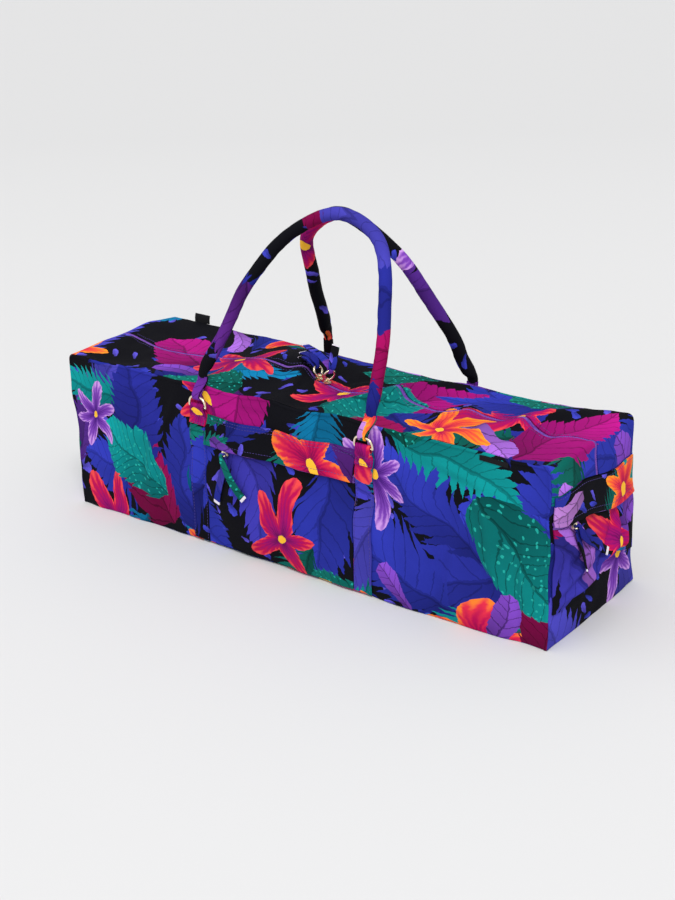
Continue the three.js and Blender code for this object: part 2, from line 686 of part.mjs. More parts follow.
// Two sliders meet on the top zip, each with a round ring and a cloth pull that lies to the back
for (const row of TOP_PULLS) {
  const near = (x) => topPlace({ x }, zipDrift(x), 0);
  const along = near(row.x + 4).sub(near(row.x - 4)).setY(0).normalize();
  const out = point(-along.z, 0, along.x);
  const place = near(row.x).addScaledVector(out, SLIDER.clear);
  const slider = addPiece(`top_slider_${row.name}`, sliderGeometry(RING_BOW), 'metal');
  setOn(slider, place, along, out);

  const across = point(Math.sin(row.swing), Math.cos(row.swing), 0);
  const lean = along.clone().multiplyScalar(row.lean * Math.cos(row.tilt));
  lean.addScaledVector(out, Math.sin(row.tilt));
  lean.addScaledVector(across, -lean.dot(across)).normalize();
  const hole = place.clone().addScaledVector(out, SLIDER.high + (RING_BOW.rise - SLIDER.wire) / 2);
  const { radius, wire } = PULL_RING;
  const ring = addPiece(`top_ring_${row.name}`, new THREE.TorusGeometry(radius, wire, 6, 16), 'metal');
  ring.quaternion.setFromRotationMatrix(
    new THREE.Matrix4().makeBasis(lean, across, new THREE.Vector3().crossVectors(lean, across)),
  );
  ring.position.copy(hole).addScaledVector(lean, radius);

  const far = hole.clone().addScaledVector(lean, 2 * radius);
  const ends = row.ends.map(({ x, y, up, turn }) => ({
    at: point(x, y, HEIGHT + topRise(x, y) + PULL.lie + up),
    side: point(Math.cos(turn), Math.sin(turn), 0),
  }));
  const pull = band(pullStations(far, across, lean, wire, ends));
  addPiece(`top_pull_${row.name}`, pull, 'canvas');
}

// One slider on each pocket zip, with its pull folded through the bow and hanging down
const down = point(0, 0, -1);
const sliderDrop = SLIDER.wide / 2 + SLIDER.drop; // below the edge of the flap or band
const bowRise = SLIDER.high - SLIDER.wire + STRIP_BOW.rise;

function pocketPull(name, place, out, along, outward, ends) {
  const slider = addPiece(`${name}_slider`, sliderGeometry(STRIP_BOW), 'metal');
  setOn(slider, place(out), along, outward);
  const stations = pullStations(place(out + bowRise), along, down, SLIDER.wire, ends);
  addPiece(`${name}_pull`, band(stations), 'canvas');
}

const frontSliderZ = FRONT_POCKET.flapBottom - sliderDrop;
pocketPull(
  'front',
  (out) => besideWall(-1, FRONT_PULL.x, frontSliderZ, out),
  frontPocketOut(FRONT_PULL.x, frontSliderZ - SLIDER.wide / 2) + SLIDER.clear,
  point(1, 0, 0),
  point(0, -1, 0),
  FRONT_PULL.ends.map(({ x, z }) => ({
    at: besideWall(-1, x, z, frontPocketOut(x, z) + PULL.lie),
    side: point(1, 0, 0),
  })),
);

const endSliderZ = endBandLow(END_PULL.y) - sliderDrop;
pocketPull(
  'end',
  (out) => beyondEnd(END_PULL.y, endSliderZ, out),
  endPocketOut(END_PULL.y, endSliderZ - SLIDER.wide / 2) + SLIDER.clear,
  point(0, 1, 0),
  point(1, 0, 0),
  END_PULL.ends.map(({ y, z }) => ({
    at: beyondEnd(y, z, endPocketOut(y, z) + PULL.lie),
    side: point(0, 1, 0),
  })),
);

// Plain labels: one hangs from the front top seam, one stands on the back top seam
const labelAcross = point(1, 0, 0);
const frontLabel = steps(3, FRONT_LABEL.bottom, FRONT_LABEL.top).map((z) => ({
  at: besideWall(-1, FRONT_LABEL.x, z, GAP + FRONT_LABEL.thick / 2),
  side: labelAcross,
  wide: FRONT_LABEL.wide,
  thick: FRONT_LABEL.thick,
}));
addPiece('label_front', band(frontLabel), 'label');

const backLabel = steps(3).map((t) => ({
  at: point(
    BACK_LABEL.x,
    HALF_DEPTH - BACK_LABEL.inset + BACK_LABEL.lean * t * t,
    HEIGHT + GAP + BACK_LABEL.tall * t,
  ),
  side: labelAcross,
  wide: BACK_LABEL.wide,
  thick: BACK_LABEL.thick,
}));
addPiece('label_back', band(backLabel), 'label');

export default bag;
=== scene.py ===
"""Yoga kit bag: soft panels of printed canvas, rolled handles, zips and pale gold fittings."""

import bpy
import numpy as np
from mathutils import Matrix


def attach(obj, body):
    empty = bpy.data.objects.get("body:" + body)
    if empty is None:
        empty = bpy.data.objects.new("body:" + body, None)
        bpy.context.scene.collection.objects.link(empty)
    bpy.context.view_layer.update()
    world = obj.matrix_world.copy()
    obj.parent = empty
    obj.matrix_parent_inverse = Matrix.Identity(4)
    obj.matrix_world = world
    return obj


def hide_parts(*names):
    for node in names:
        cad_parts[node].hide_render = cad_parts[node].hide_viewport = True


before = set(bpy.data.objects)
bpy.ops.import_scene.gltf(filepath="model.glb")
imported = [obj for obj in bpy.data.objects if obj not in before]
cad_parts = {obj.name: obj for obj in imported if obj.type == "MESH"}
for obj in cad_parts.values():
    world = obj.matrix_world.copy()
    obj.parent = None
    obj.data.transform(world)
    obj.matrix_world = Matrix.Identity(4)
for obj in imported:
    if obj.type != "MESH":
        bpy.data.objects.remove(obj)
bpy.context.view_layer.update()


# Camera. A long lens from the front right, a little above the bag; its place, turn and slight roll
# follow from the bag's corners in the photograph. The lens is 56 mm on the 36 mm long side.
AIM, DISTANCE, LENS = (0.008, 0.0, 0.126), 1.803, 56
AZIMUTH, ELEVATION, ROLL = np.radians((38.3, 21.88, -2.2))


def unit(vectors):
    """Vectors scaled to length 1."""
    return vectors / np.linalg.norm(vectors, axis=-1, keepdims=True)


def stand(name, data, toward, place, roll=0.0):
    """Camera or lamp at a place, looking against a direction, upright apart from its roll."""
    level = unit(np.cross((0, 0, 1), toward))
    rise = np.cross(toward, level)
    pose = np.eye(4)
    pose[:3, 0] = np.cos(roll) * level + np.sin(roll) * rise
    pose[:3, 1] = np.cos(roll) * rise - np.sin(roll) * level
    pose[:3, 2] = toward
    pose[:3, 3] = place
    item = bpy.data.objects.new(name, data)
    item.matrix_world = Matrix(pose)
    bpy.context.collection.objects.link(item)
    return item


toward = np.array(
    (np.sin(AZIMUTH) * np.cos(ELEVATION), -np.cos(AZIMUTH) * np.cos(ELEVATION), np.sin(ELEVATION))
)
camera = stand("camera", bpy.data.cameras.new("camera"), toward, AIM + DISTANCE * toward, ROLL)
camera.data.lens = LENS
camera.data.sensor_width = 36
bpy.context.scene.camera = camera


# Front wall. One long panel of heavy cotton canvas, printed with leaves and blossoms on a near-black
# ground, slack between its seams. Its allowance is turned in, so the top edge stands up as a soft lip.
LENGTH, DEPTH, HEIGHT = 750.0, 200.0, 220.0
CLOTH, SEAM, GAP, CORNER = 1.8, 0.25, 0.4, 9.0
HALF_LENGTH, HALF_DEPTH, MID_HEIGHT = LENGTH / 2, DEPTH / 2, HEIGHT / 2
FRONT_BULGE, LIP_HIGH, LIP_IN, LIP_REACH = 7.0, 1.3, 2.4, 1.7
POCKET_SIDES, OVER_POCKET, BETWEEN_STRAPS = 164, 192, 112
# Dents by x, z, depth, half width and half height; folds as in creases.
FRONT_DENTS = ((-335, 75, 2.5, 22, 60), (-262, 120, 3, 42, 70), (212, 60, 3, 38, 55), (318, 150, 2, 24, 60))
FRONT_FOLDS = (
    (-318, 150, 82, 55, 9, 3.2),
    (-290, 60, 96, 50, 8, 2.6),
    (-226, 96, 84, 60, 10, 3.0),
    (-188, 168, 62, 36, 7, 2.2),
    (-250, 196, 12, 44, 6, 1.6),
    (196, 150, 97, 50, 9, 3.0),
    (252, 70, 78, 55, 10, 3.0),
    (300, 120, 100, 60, 9, 3.0),
    (346, 66, 92, 56, 7, 2.6),
    (258, 188, 166, 40, 6, 1.8),
    (60, 204, 8, 60, 5, 1.0),
    (-40, 208, 172, 50, 5, 0.9),
)


def linear(code):
    """sRGB hex to a linear colour with full alpha."""
    rgb = np.array([int(code[i : i + 2], 16) for i in (1, 3, 5)]) / 255
    return (*np.where(rgb <= 0.04045, rgb / 12.92, ((rgb + 0.055) / 1.055) ** 2.4), 1.0)


def plug(tree, sockets, values):
    """Fill sockets by place or name: a socket is linked, any other value is set."""
    for place, value in values.items():
        if isinstance(value, bpy.types.NodeSocket):
            tree.links.new(value, sockets[place])
        else:
            sockets[place].default_value = value


def add(tree, kind, inputs=(), out=0, **settings):
    """Add one node: its settings and its inputs, in order or by place. Gives one of its outputs."""
    node = tree.nodes.new("ShaderNode" + kind)
    for name, value in settings.items():
        setattr(node, name, value)
    plug(tree, node.inputs, inputs if isinstance(inputs, dict) else dict(enumerate(inputs)))
    return node.outputs[out]


def reckon(operation, *inputs):
    """One step of arithmetic on values and sockets, in the tree of the sockets."""
    tree = next(value.id_data for value in inputs if isinstance(value, bpy.types.NodeSocket))
    return add(tree, "Math", inputs, operation=operation)


def ramp(value, kind, *stops):
    """Colours or grey levels at stops along a value."""
    shade = add(value.id_data, "ValToRGB", (value,))
    band = shade.node.color_ramp
    band.interpolation = kind
    while len(band.elements) < len(stops):
        band.elements.new(1.0)
    for element, (place, colour) in zip(band.elements, stops):
        element.position = place
        element.color = linear(colour) if isinstance(colour, str) else (colour, colour, colour, 1)
    return shade


def cover(share, ground, colour):
    """Colour laid over a ground by a share."""
    return add(share.id_data, "Mix", {0: share, 6: ground, 7: colour}, out=2, data_type="RGBA")


def finish(name):
    """New material: itself, its tree and the sockets of its surface, already joined to the output."""
    material = bpy.data.materials.new(name)
    material.use_nodes = True
    return material, material.node_tree, material.node_tree.nodes["Principled BSDF"].inputs


def strewn(tree, place, cell, size, shift, loose=0.35):
    """Frames of strewn motifs: the nearest point of a loose grid, turned and sized at random.

    Gives places along and across the motif in shares of its half length, and two random values.
    """
    moved = add(tree, "VectorMath", (place, (*shift, 0)), operation="ADD")
    nearest = add(tree, "TexVoronoi", {0: moved, 2: 1 / cell, 8: loose}, voronoi_dimensions="2D").node.outputs
    apart = add(tree, "VectorMath", (moved, nearest["Position"]), operation="SUBTRACT")
    chance = add(tree, "SeparateColor", (nearest["Color"],)).node.outputs
    angle = reckon("MULTIPLY", chance[0], 2 * np.pi)
    turned = add(tree, "VectorRotate", {0: apart, 3: angle}, rotation_type="Z_AXIS")
    scale = reckon("MULTIPLY_ADD", chance[2], 0.35 / size, 0.9 / size)
    shares = add(tree, "VectorMath", {0: turned, 3: scale}, operation="SCALE")
    axes = add(tree, "SeparateXYZ", (shares,)).node.outputs
    return axes[0], axes[1], chance[1], chance[2]


def leaf(tree, ground, motif, outline, colours, vein, ribs, teeth, kept, dots=None):
    """Pointed leaf: half width from a ramp along it, ribs swept forward, one half in shade, toothed edge.

    It pales towards its tip, only some of the strewn places keep one, and it may carry a spray of dots.
    """
    along, across, chance, keep = motif
    side = reckon("ABSOLUTE", across)
    share = reckon("MULTIPLY_ADD", along, 0.5, 0.5)
    half = ramp(share, *outline)
    rake = reckon("MULTIPLY_ADD", side, -0.8, along)
    beat = reckon("FRACT", reckon("MULTIPLY", rake, ribs))
    if teeth:
        half = reckon("MULTIPLY", half, reckon("MULTIPLY_ADD", beat, teeth, 1 - teeth))
    shown = reckon("LESS_THAN", keep, kept)
    inside = reckon("MULTIPLY", reckon("LESS_THAN", side, half), shown)
    paler = reckon("MULTIPLY_ADD", share, 0.75, 0.62)
    shade = reckon("MULTIPLY_ADD", reckon("GREATER_THAN", across, 0.0), -0.26, paler)
    shaded = add(tree, "HueSaturation", {2: shade, 4: ramp(chance, "CONSTANT", *colours)})
    if dots:
        spread = add(tree, "CombineXYZ", (along, across))
        spray = add(tree, "TexVoronoi", {0: spread, 2: 7.0}, voronoi_dimensions="2D")
        shaded = cover(reckon("LESS_THAN", spray, 0.15), shaded, linear(dots))
    spine = reckon("LESS_THAN", side, 0.022)
    drawn = reckon("MAXIMUM", reckon("LESS_THAN", beat, 0.1), spine)
    return cover(inside, ground, add(tree, "HueSaturation", {2: vein, 3: drawn, 4: shaded}))


def blossom(tree, ground, motif, count, warm, deep, kept):
    """Blossom: petals of uneven reach from a ramp round each one, streaked rings of colour outwards.

    One of two sets of colours is chosen at random, and only some of the strewn places keep one.
    """
    along, across, chance, keep = motif
    square = reckon("MULTIPLY_ADD", across, across, reckon("MULTIPLY", along, along))
    radius = reckon("SQRT", square)
    angle = reckon("ARCTAN2", across, along)
    turn = reckon("MULTIPLY_ADD", angle, count / (2 * np.pi), count)
    beat = reckon("FRACT", turn)
    petal = reckon("ADD", reckon("FLOOR", turn), chance)
    uneven = add(tree, "TexWhiteNoise", {1: petal}, noise_dimensions="1D")
    rim = ramp(beat, "EASE", (0, 0.42), (0.5, 1), (1, 0.42))
    reach = reckon("MULTIPLY", rim, reckon("MULTIPLY_ADD", uneven, 0.35, 0.7))
    share = reckon("DIVIDE", radius, reach)
    shown = reckon("LESS_THAN", keep, kept)
    inside = reckon("MULTIPLY", reckon("LESS_THAN", share, 1.0), shown)
    streak = reckon("SINE", reckon("MULTIPLY", beat, 45.0))
    rings = reckon("MULTIPLY_ADD", streak, 0.11, share)
    light, dark = (ramp(rings, "LINEAR", *stops) for stops in (warm, deep))
    fill = cover(reckon("GREATER_THAN", chance, 0.5), light, dark)
    core = cover(reckon("LESS_THAN", radius, 0.1), fill, linear("#ffc23a"))
    return cover(inside, ground, core)


def printed(tree, place):
    """Print of the canvas: strewn seeds, leaves and blossoms laid over each other on a dark ground.

    The drawing is bent by a slow noise, so that leaves curve, and roughened by a fine one, as by a brush.
    """
    for scale, detail, far in ((8.0, 1.0, 0.09), (150.0, 2.0, 0.005)):
        noise = add(tree, "TexNoise", {0: place, 2: scale, 3: detail}, out=1)
        place = add(tree, "VectorMath", (noise, (far, far, 0), place), operation="MULTIPLY_ADD")
    slim = ("B_SPLINE", (0, 0), (0.03, 0), (0.12, 0.2), (0.4, 0.55), (0.8, 0.3), (0.97, 0), (1, 0))
    broad = ("B_SPLINE", (0, 0), (0.03, 0), (0.1, 0.4), (0.4, 0.74), (0.85, 0.4), (0.97, 0), (1, 0))
    tongue = ("EASE", (0, 0), (0.12, 0.2), (0.7, 0.42), (0.93, 0.3), (1, 0))
    seed = ((0, "#5a50c8"), (0.5, "#3a3fb5"))
    cobalt = ((0, "#2d36a8"), (0.4, "#262b90"), (0.75, "#4844b4"))
    indigo = ((0, "#282f96"), (0.5, "#3c38a8"), (0.85, "#552a8c"))
    water = ((0, "#0a6a60"), (0.4, "#0a78a8"), (0.7, "#0a8f90"))
    teal = ((0, "#0a6a60"), (0.35, "#0a8f90"), (0.7, "#087a78"))
    plum = ((0, "#a8127a"), (0.4, "#6a2d96"), (0.7, "#8f0a50"))
    lilac = ((0, "#c98ae0"), (0.4, "#7a44b8"), (0.7, "#a468d2"))
    flame = ((0, "#5c0a48"), (0.4, "#b80e50"), (0.78, "#e03048"), (1, "#f88030"))
    amber = ((0, "#8f0a50"), (0.35, "#d82a48"), (0.72, "#f86038"), (1, "#fa9a26"))
    berry = ((0, "#4a0a48"), (0.4, "#94106c"), (0.8, "#c0124f"), (1, "#f04c4c"))
    orchid = ((0, "#2c1260"), (0.35, "#5c2a90"), (0.75, "#8248b8"), (1, "#cc98e4"))
    colour = add(tree, "RGB")
    colour.default_value = linear("#0e0e14")
    seeds = strewn(tree, place, 0.026, 0.0095, (0.31, 0.17), 0.9)
    colour = leaf(tree, colour, seeds, tongue, seed, 1.0, 1, 0.0, 0.45)
    for draw, cell, size, shift, *look in (
        (leaf, 0.22, 0.108, (0.05, 0.02), slim, cobalt, 0.7, 6, 0.35, 0.62),
        (leaf, 0.22, 0.108, (0.14, 0.12), slim, indigo, 0.7, 6, 0.35, 0.62),
        (leaf, 0.22, 0.108, (0.47, 0.36), slim, cobalt, 0.7, 6, 0.35, 0.62),
        (leaf, 0.2, 0.088, (0.61, 0.4), slim, water, 0.6, 7, 0.55, 0.75),
        (blossom, 0.2, 0.075, (0.21, 0.57), 5, flame, berry, 0.6),
        (leaf, 0.2, 0.078, (0.33, 0.71), broad, plum, 0.55, 5, 0.12, 0.6),
        (leaf, 0.23, 0.098, (0.83, 0.53), slim, cobalt, 0.7, 6, 0.3, 0.6),
        (leaf, 0.21, 0.076, (0.93, 0.11), broad, teal, 0.5, 5, 0.12, 0.62, "#23a89c"),
        (leaf, 0.13, 0.042, (0.47, 0.83), tongue, lilac, 0.45, 3, 0.0, 0.36),
        (blossom, 0.21, 0.066, (0.77, 0.29), 6, amber, orchid, 0.38),
    ):
        colour = draw(tree, colour, strewn(tree, place, cell, size, shift), *look)
    return colour


# Heavy cotton canvas, printed with matte inks: no gloss, a little fuzz, a plain weave, ink that lies
# slightly unevenly. Threads are 0.6 mm apart; they are drawn at 1.5 mm, because finer ones don't show.
THREAD = 0.0015
printed_canvas, tree, surface = finish("printed_cotton_canvas")
cloth_place = add(tree, "UVMap", uv_map="cloth")
warp, weft = (
    reckon("SINE", reckon("MULTIPLY", axis, 2 * np.pi / THREAD))
    for axis in add(tree, "SeparateXYZ", (cloth_place,)).node.outputs[:2]
)
weave = reckon("MULTIPLY", warp, weft)
patchy = add(tree, "TexNoise", {0: cloth_place, 2: 14.0, 3: 3.0})
ink = add(tree, "MapRange", {0: patchy, 1: 0.3, 2: 0.7, 3: 0.9, 4: 1.08})
slub = add(tree, "TexNoise", {0: cloth_place, 2: 420.0, 3: 2.0})
tone = reckon("MULTIPLY", ink, reckon("MULTIPLY_ADD", slub, 0.16, 0.92))
relief = reckon("MULTIPLY_ADD", slub, 1.2, weave)
plug(tree, surface, {
    "Base Color": add(tree, "HueSaturation", {2: tone, 4: printed(tree, cloth_place)}),
    "Roughness": add(tree, "MapRange", {0: slub, 3: 0.74, 4: 0.92}),
    "Normal": add(tree, "Bump", {0: 0.35, 1: 0.0002, 3: relief}),
    "Specular IOR Level": 0.06,
})


def places(*axes):
    """Places from their coordinates, each spread over the same grid."""
    return np.stack(np.broadcast_arrays(*axes), axis=-1)


def bell(distance, reach):
    """Round hill: exp of minus the square of the distance over its reach."""
    return np.exp(-((distance / reach) ** 2))


def plump(share, power):
    """One less the share to a power: level in the middle, falling to nothing at 1."""
    return 1 - np.abs(share) ** power


def mix(start, end, share):
    """Straight blend from start to end."""
    return start + (end - start) * share


def ease(share):
    """Smooth step: 3 t squared less 2 t cubed, with t kept between 0 and 1."""
    share = np.clip(share, 0, 1)
    return share * share * (3 - 2 * share)


def graded(count):
    """Shares from 0 to 1 that crowd towards both ends: t less 0.75 sin(2 pi t) / 2 pi."""
    share = np.linspace(0, 1, count)
    return share - 0.75 * np.sin(2 * np.pi * share) / (2 * np.pi)


def creases(x, y, rows):
    """Soft folds: each row a ridge with a shallow valley beside it, fading to its two ends.

    A row is the middle, the direction in degrees, the half length, the half width and the height.
    """
    total = np.zeros(np.broadcast(x, y).shape)
    for mid_x, mid_y, degrees, length, width, height in rows:
        cos, sin = np.cos(np.radians(degrees)), np.sin(np.radians(degrees))
        along = (x - mid_x) * cos + (y - mid_y) * sin
        across = (y - mid_y) * cos - (x - mid_x) * sin
        ridge = bell(across, width) - 0.7 * bell(across - 1.7 * width, width)
        total = total + height * bell(along, length) * ridge
    return total


def slack(x, y, seed, wave):
    """Uneven lie of cloth: six sine waves of random direction, length and phase, from a fixed seed."""
    dice = np.random.default_rng(seed)
    total = 0
    for _ in range(6):
        heading, stretch, phase = dice.uniform((0, 0.7, 0), (np.pi, 1.6, 2 * np.pi))
        along = x * np.cos(heading) + y * np.sin(heading)
        total = total + np.sin(2 * np.pi * along / (wave * stretch) + phase)
    return total / 2.5


def puckers(along, depth, seed, wave, reach):
    """Gathers beside a seam: waves along it that die away with the depth from it."""
    return slack(along, 0, seed, wave) * np.exp(-depth / reach)


def hills(place, rows):
    """Sum of round hills along a line: each row is the middle, the height and the reach."""
    return sum(high * bell(place - middle, reach) for middle, high, reach in rows)


# Settling: size, first seed, wave lengths and height of full strength of the slow waves and of the ripples,
# then the hills up the left end and along the back top seam.
SETTLING = ((1.5, 81, (75, 85, 95), 25), (0.3, 84, (30, 34, 36), 12))
LEFT_HILLS = ((175, 3, 30), (95, -2, 30), (0, -3, 13))
SEAM_HILLS = ((135, 4, 35), (40, -1.2, 60), (290, 1.8, 60), (375, -1.5, 30))


def settled(points):
    """Points moved as the soft bag settles: slow waves through the space, the same for all its pieces.

    Each axis moves by up to about 2 mm with the places along the other two, and finer ripples lie on that,
    both weaker up the handles. The foot spreads, the left end and the back top seam wave, and the edges
    of the base lift a little.
    """
    x, y, z = points.T
    held = 1 - 0.75 * ease((z - 235) / 60)
    moved = points
    for size, seed, waves, clear in SETTLING:
        others = ((y, z), (x, z), (x, y))
        shift = places(*(slack(*others[k], seed + k, waves[k]) for k in range(3)))
        moved = moved + size * shift * places(held, held, held * ease(z / clear))
    low = bell(z, 45)
    moved[:, 0] += 3.5 * low * np.maximum(0, x) / HALF_LENGTH
    moved[:, 1] += low * np.where(y < 0, 4 + 7 * bell(x - 190, 150), 3) * y / HALF_DEPTH
    left, upper = ease((-x - 290) / 85), ease((z - 150) / 60)
    moved[:, 0] -= left * hills(z, LEFT_HILLS)
    seam = ease((y - 40) / 40) * upper * ease((265 - z) / 30)
    moved[:, 2] += seam * hills(x, SEAM_HILLS) + 3.5 * left * bell(y - 50, 45) * upper
    rim = np.maximum(ease((np.abs(y) - 70) / 30), ease((np.abs(x) - 330) / 45))
    moved[:, 2] += 0.9 * np.maximum(0, slack(x, y, 87, 150)) * rim * bell(z, 40)
    return moved


def build(name, node, slot, materials, points, faces, flat, cut=(0, 0), size=None, held="stretched",
          picks=None, crisp=0.9):
    """Piece at the origin, from points and a cloth map in millimetres, in its node's place on the bag.

    cut is where its cloth is cut from the print, in metres, and picks the material of each face.
    size, the flat size of a sheet in metres, is not used.
    """
    mesh = bpy.data.meshes.new(name)
    mesh.from_pydata((settled(points) * 0.001).tolist(), [], [list(face) for face in faces])
    corners = np.empty(len(mesh.loops), dtype=np.int32)
    mesh.loops.foreach_get("vertex_index", corners)
    cloth = flat * 0.001 + cut
    mesh.uv_layers.new(name="cloth").data.foreach_set("uv", cloth[corners].ravel())
    for material in materials:
        mesh.materials.append(material)
    if picks is not None:
        mesh.polygons.foreach_set("material_index", np.asarray(picks, dtype=np.int32))
    mesh.shade_smooth()
    mesh.set_sharp_from_angle(angle=crisp)
    mesh.update()
    piece = bpy.data.objects.new(name, mesh)
    bpy.context.collection.objects.link(piece)
    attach(piece, "root")
    if node:
        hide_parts(node)
    return piece


def skin(name, node, outer, flat, facing, cut=(0, 0), size=None, held="stretched", slot="canvas",
         material=printed_canvas, thick=CLOTH):
    """Cloth wall: an outer grid, an inner one a thickness along its normals, and a strip round the edge."""
    if np.cross(*np.gradient(outer, axis=(0, 1))).mean(axis=(0, 1)) @ np.asarray(facing, float) < 0:
        outer, flat = outer[:, ::-1], flat[:, ::-1]
    normal = unit(np.cross(*np.gradient(outer, axis=(0, 1))))
    rows, columns = outer.shape[:2]
    index = np.arange(rows * columns).reshape(rows, columns)
    front = places(index[:-1, :-1], index[1:, :-1], index[1:, 1:], index[:-1, 1:]).reshape(-1, 4)
    loop = np.concatenate((index[:-1, 0], index[-1, :-1], index[:0:-1, -1], index[0, :0:-1]))
    following = np.roll(loop, -1)
    under = rows * columns
    edge = places(following, loop, loop + under, following + under)
    points = np.concatenate((outer.reshape(-1, 3), (outer - thick * normal).reshape(-1, 3)))
    faces = np.concatenate((front, front[:, ::-1] + under, edge))
    flat = np.tile(flat.reshape(-1, 2), (2, 1))
    build(name, node, slot, (material,), points, faces, flat, cut, size, held)


def along_fade(x, power=6):
    """Fade to nothing at the two ends of the bag."""
    return plump(np.clip(np.abs(x) / HALF_LENGTH, 0, 1), power)


def front_out(x, z):
    """How far the front wall stands out: a swell less its dents, nothing at the seams."""
    dents = sum(
        deep * bell(x - at_x, wide) * bell(z - at_z, tall) for at_x, at_z, deep, wide, tall in FRONT_DENTS
    )
    return (FRONT_BULGE - dents) * along_fade(x) * plump(z / MID_HEIGHT - 1, 4)


def wall_top(x):
    """Upper edge of the long walls: level, with round corners where the top turns down."""
    past = np.maximum(0, np.abs(x) - (HALF_LENGTH - CORNER))
    return HEIGHT - CORNER + np.sqrt(np.maximum(0, (CORNER - SEAM) ** 2 - past**2))


def off_seams(x, z):
    """Share of the slack that is left near the base seam and the end seams."""
    return ease(z / 12) * ease((HALF_LENGTH - np.abs(x)) / 14)


def lip(off, along):
    """Ridge of a turned-in allowance: a hill a little off the seam, fading where the seam ends."""
    return bell(off - LIP_IN, LIP_REACH) * ease(along / 6)


wall_x = (HALF_LENGTH - SEAM) * (2 * graded(270)[:, None] - 1)
wall_share = graded(84)
x, z = wall_x, mix(SEAM, wall_top(wall_x), wall_share)
from_top, from_end = wall_top(x) - z, HALF_LENGTH - np.abs(x)
over_pocket = ease((z - OVER_POCKET) / 8) * ease((BETWEEN_STRAPS - np.abs(x)) / 10)
beside_pocket = np.maximum(ease((np.abs(x) - POCKET_SIDES) / 18), over_pocket)
out = front_out(x, z) + beside_pocket * off_seams(x, z) * (
    creases(x, z, FRONT_FOLDS) + 0.9 * slack(x, z, 4, 60) + 0.8 * puckers(x, from_top, 5, 26, 9)
)
out = out + np.maximum(LIP_HIGH * lip(from_top, from_end), lip(from_end, from_top))
outer = places(x, -HALF_DEPTH - out, z)
skin("front_wall", "front_panel", outer, places(x, z), (0, -1, 0), (3.1, 4.83), (0.75, 0.22))


# Back wall. The same canvas; its top seam droops and leans in towards the right, where the bag is
# less full, and the back right corner leans in with it.
BACK_BULGE, BACK_STRAPS, BACK_STRAP_HALF = 8.0, (-88, 144), 15
DROOP_X, DROOP_REACH, DROOP_SAG, DROOP_LEAN, DROOP_FADE, RIGHT_LEAN = 190.0, 260.0, 10.0, 8.0, 10, 9.0
BACK_FOLDS = (
    (-300, 120, 84, 60, 10, 1.4),
    (-210, 160, 70, 50, 8, 1.1),
    (-20, 70, 95, 60, 12, 1.3),
    (40, 150, 60, 60, 9, 1.2),
    (220, 170, 112, 55, 9, 1.6),
    (290, 90, 80, 60, 10, 1.3),
)


def back_droop(x):
    """Share of the droop along the back top seam."""
    return bell(x - DROOP_X, DROOP_REACH) * along_fade(x, DROOP_FADE)


def right_lean(x, z):
    """Lean of the back right corner, growing to the right and upwards."""
    return RIGHT_LEAN * np.clip(x / (HALF_LENGTH - CORNER), 0, 1) ** 3 * z / HEIGHT


def back_out(x, z):
    """How far the back wall stands out: a swell less the droop's lean and the corner's lean."""
    swell = BACK_BULGE * along_fade(x) * plump(np.clip(z / HEIGHT, 0, 1) * 2 - 1, 4)
    return swell - DROOP_LEAN * back_droop(x) * (z / HEIGHT) ** 2 - right_lean(x, z)


back_top = wall_top(wall_x) - DROOP_SAG * back_droop(wall_x)
x, z = wall_x, mix(SEAM, back_top, wall_share)
beside_straps = np.prod([ease((np.abs(x - at) - BACK_STRAP_HALF) / 10) for at in BACK_STRAPS], axis=0)
out = back_out(x, z) + beside_straps * off_seams(x, z) * (
    creases(x, z, BACK_FOLDS) + 0.4 * slack(x, z, 14, 80) + 0.6 * puckers(x, back_top - z, 15, 28, 9)
)
outer = places(x, HALF_DEPTH + out, z)
skin("back_wall", "back_panel", outer, places(-x, z), (0, 1, 0), (2.4, 0.9), (0.75, 0.22))


# Base. A flat panel of the same canvas that the bag stands on.
x = (HALF_LENGTH - SEAM) * np.linspace(-1, 1, 60)[:, None]
y = (HALF_DEPTH - SEAM) * np.linspace(-1, 1, 20)
skin("base", "base_panel", places(x, y, 0), places(x, y), (0, 0, -1), (1.2, 2.1), (0.75, 0.2))


# Ends. Canvas panels that reach up to the seam where the top turns down over them. The left end is
# plain and slack; the right one lies behind its pocket.
END_SEAM_Z = 178.0
END_BULGE = {"left": 9.0, "right": 6.0}
END_FALL = {"left": 0.0, "right": 0.08}
END_CUTS = {"left": (2.5, 0.4), "right": (2.95, 5.95)}
LEFT_END_FOLDS = ((-40, 110, 78, 50, 11, 1.6), (35, 80, 104, 55, 12, 1.5), (5, 140, 20, 50, 8, 1.0))


def end_out(end, y, z):
    """How far an end wall stands out: a swell, nothing at the seams."""
    return END_BULGE[end] * plump(y / HALF_DEPTH, 4) * plump(z / MID_HEIGHT - 1, 4)


def end_y(end, half, share, z):
    """Sideways place on an end: even, with the back half of the right end leaning in."""
    lean = right_lean(HALF_LENGTH, z) * (end == "right")
    return half * share - lean * np.maximum(0, share) ** 2


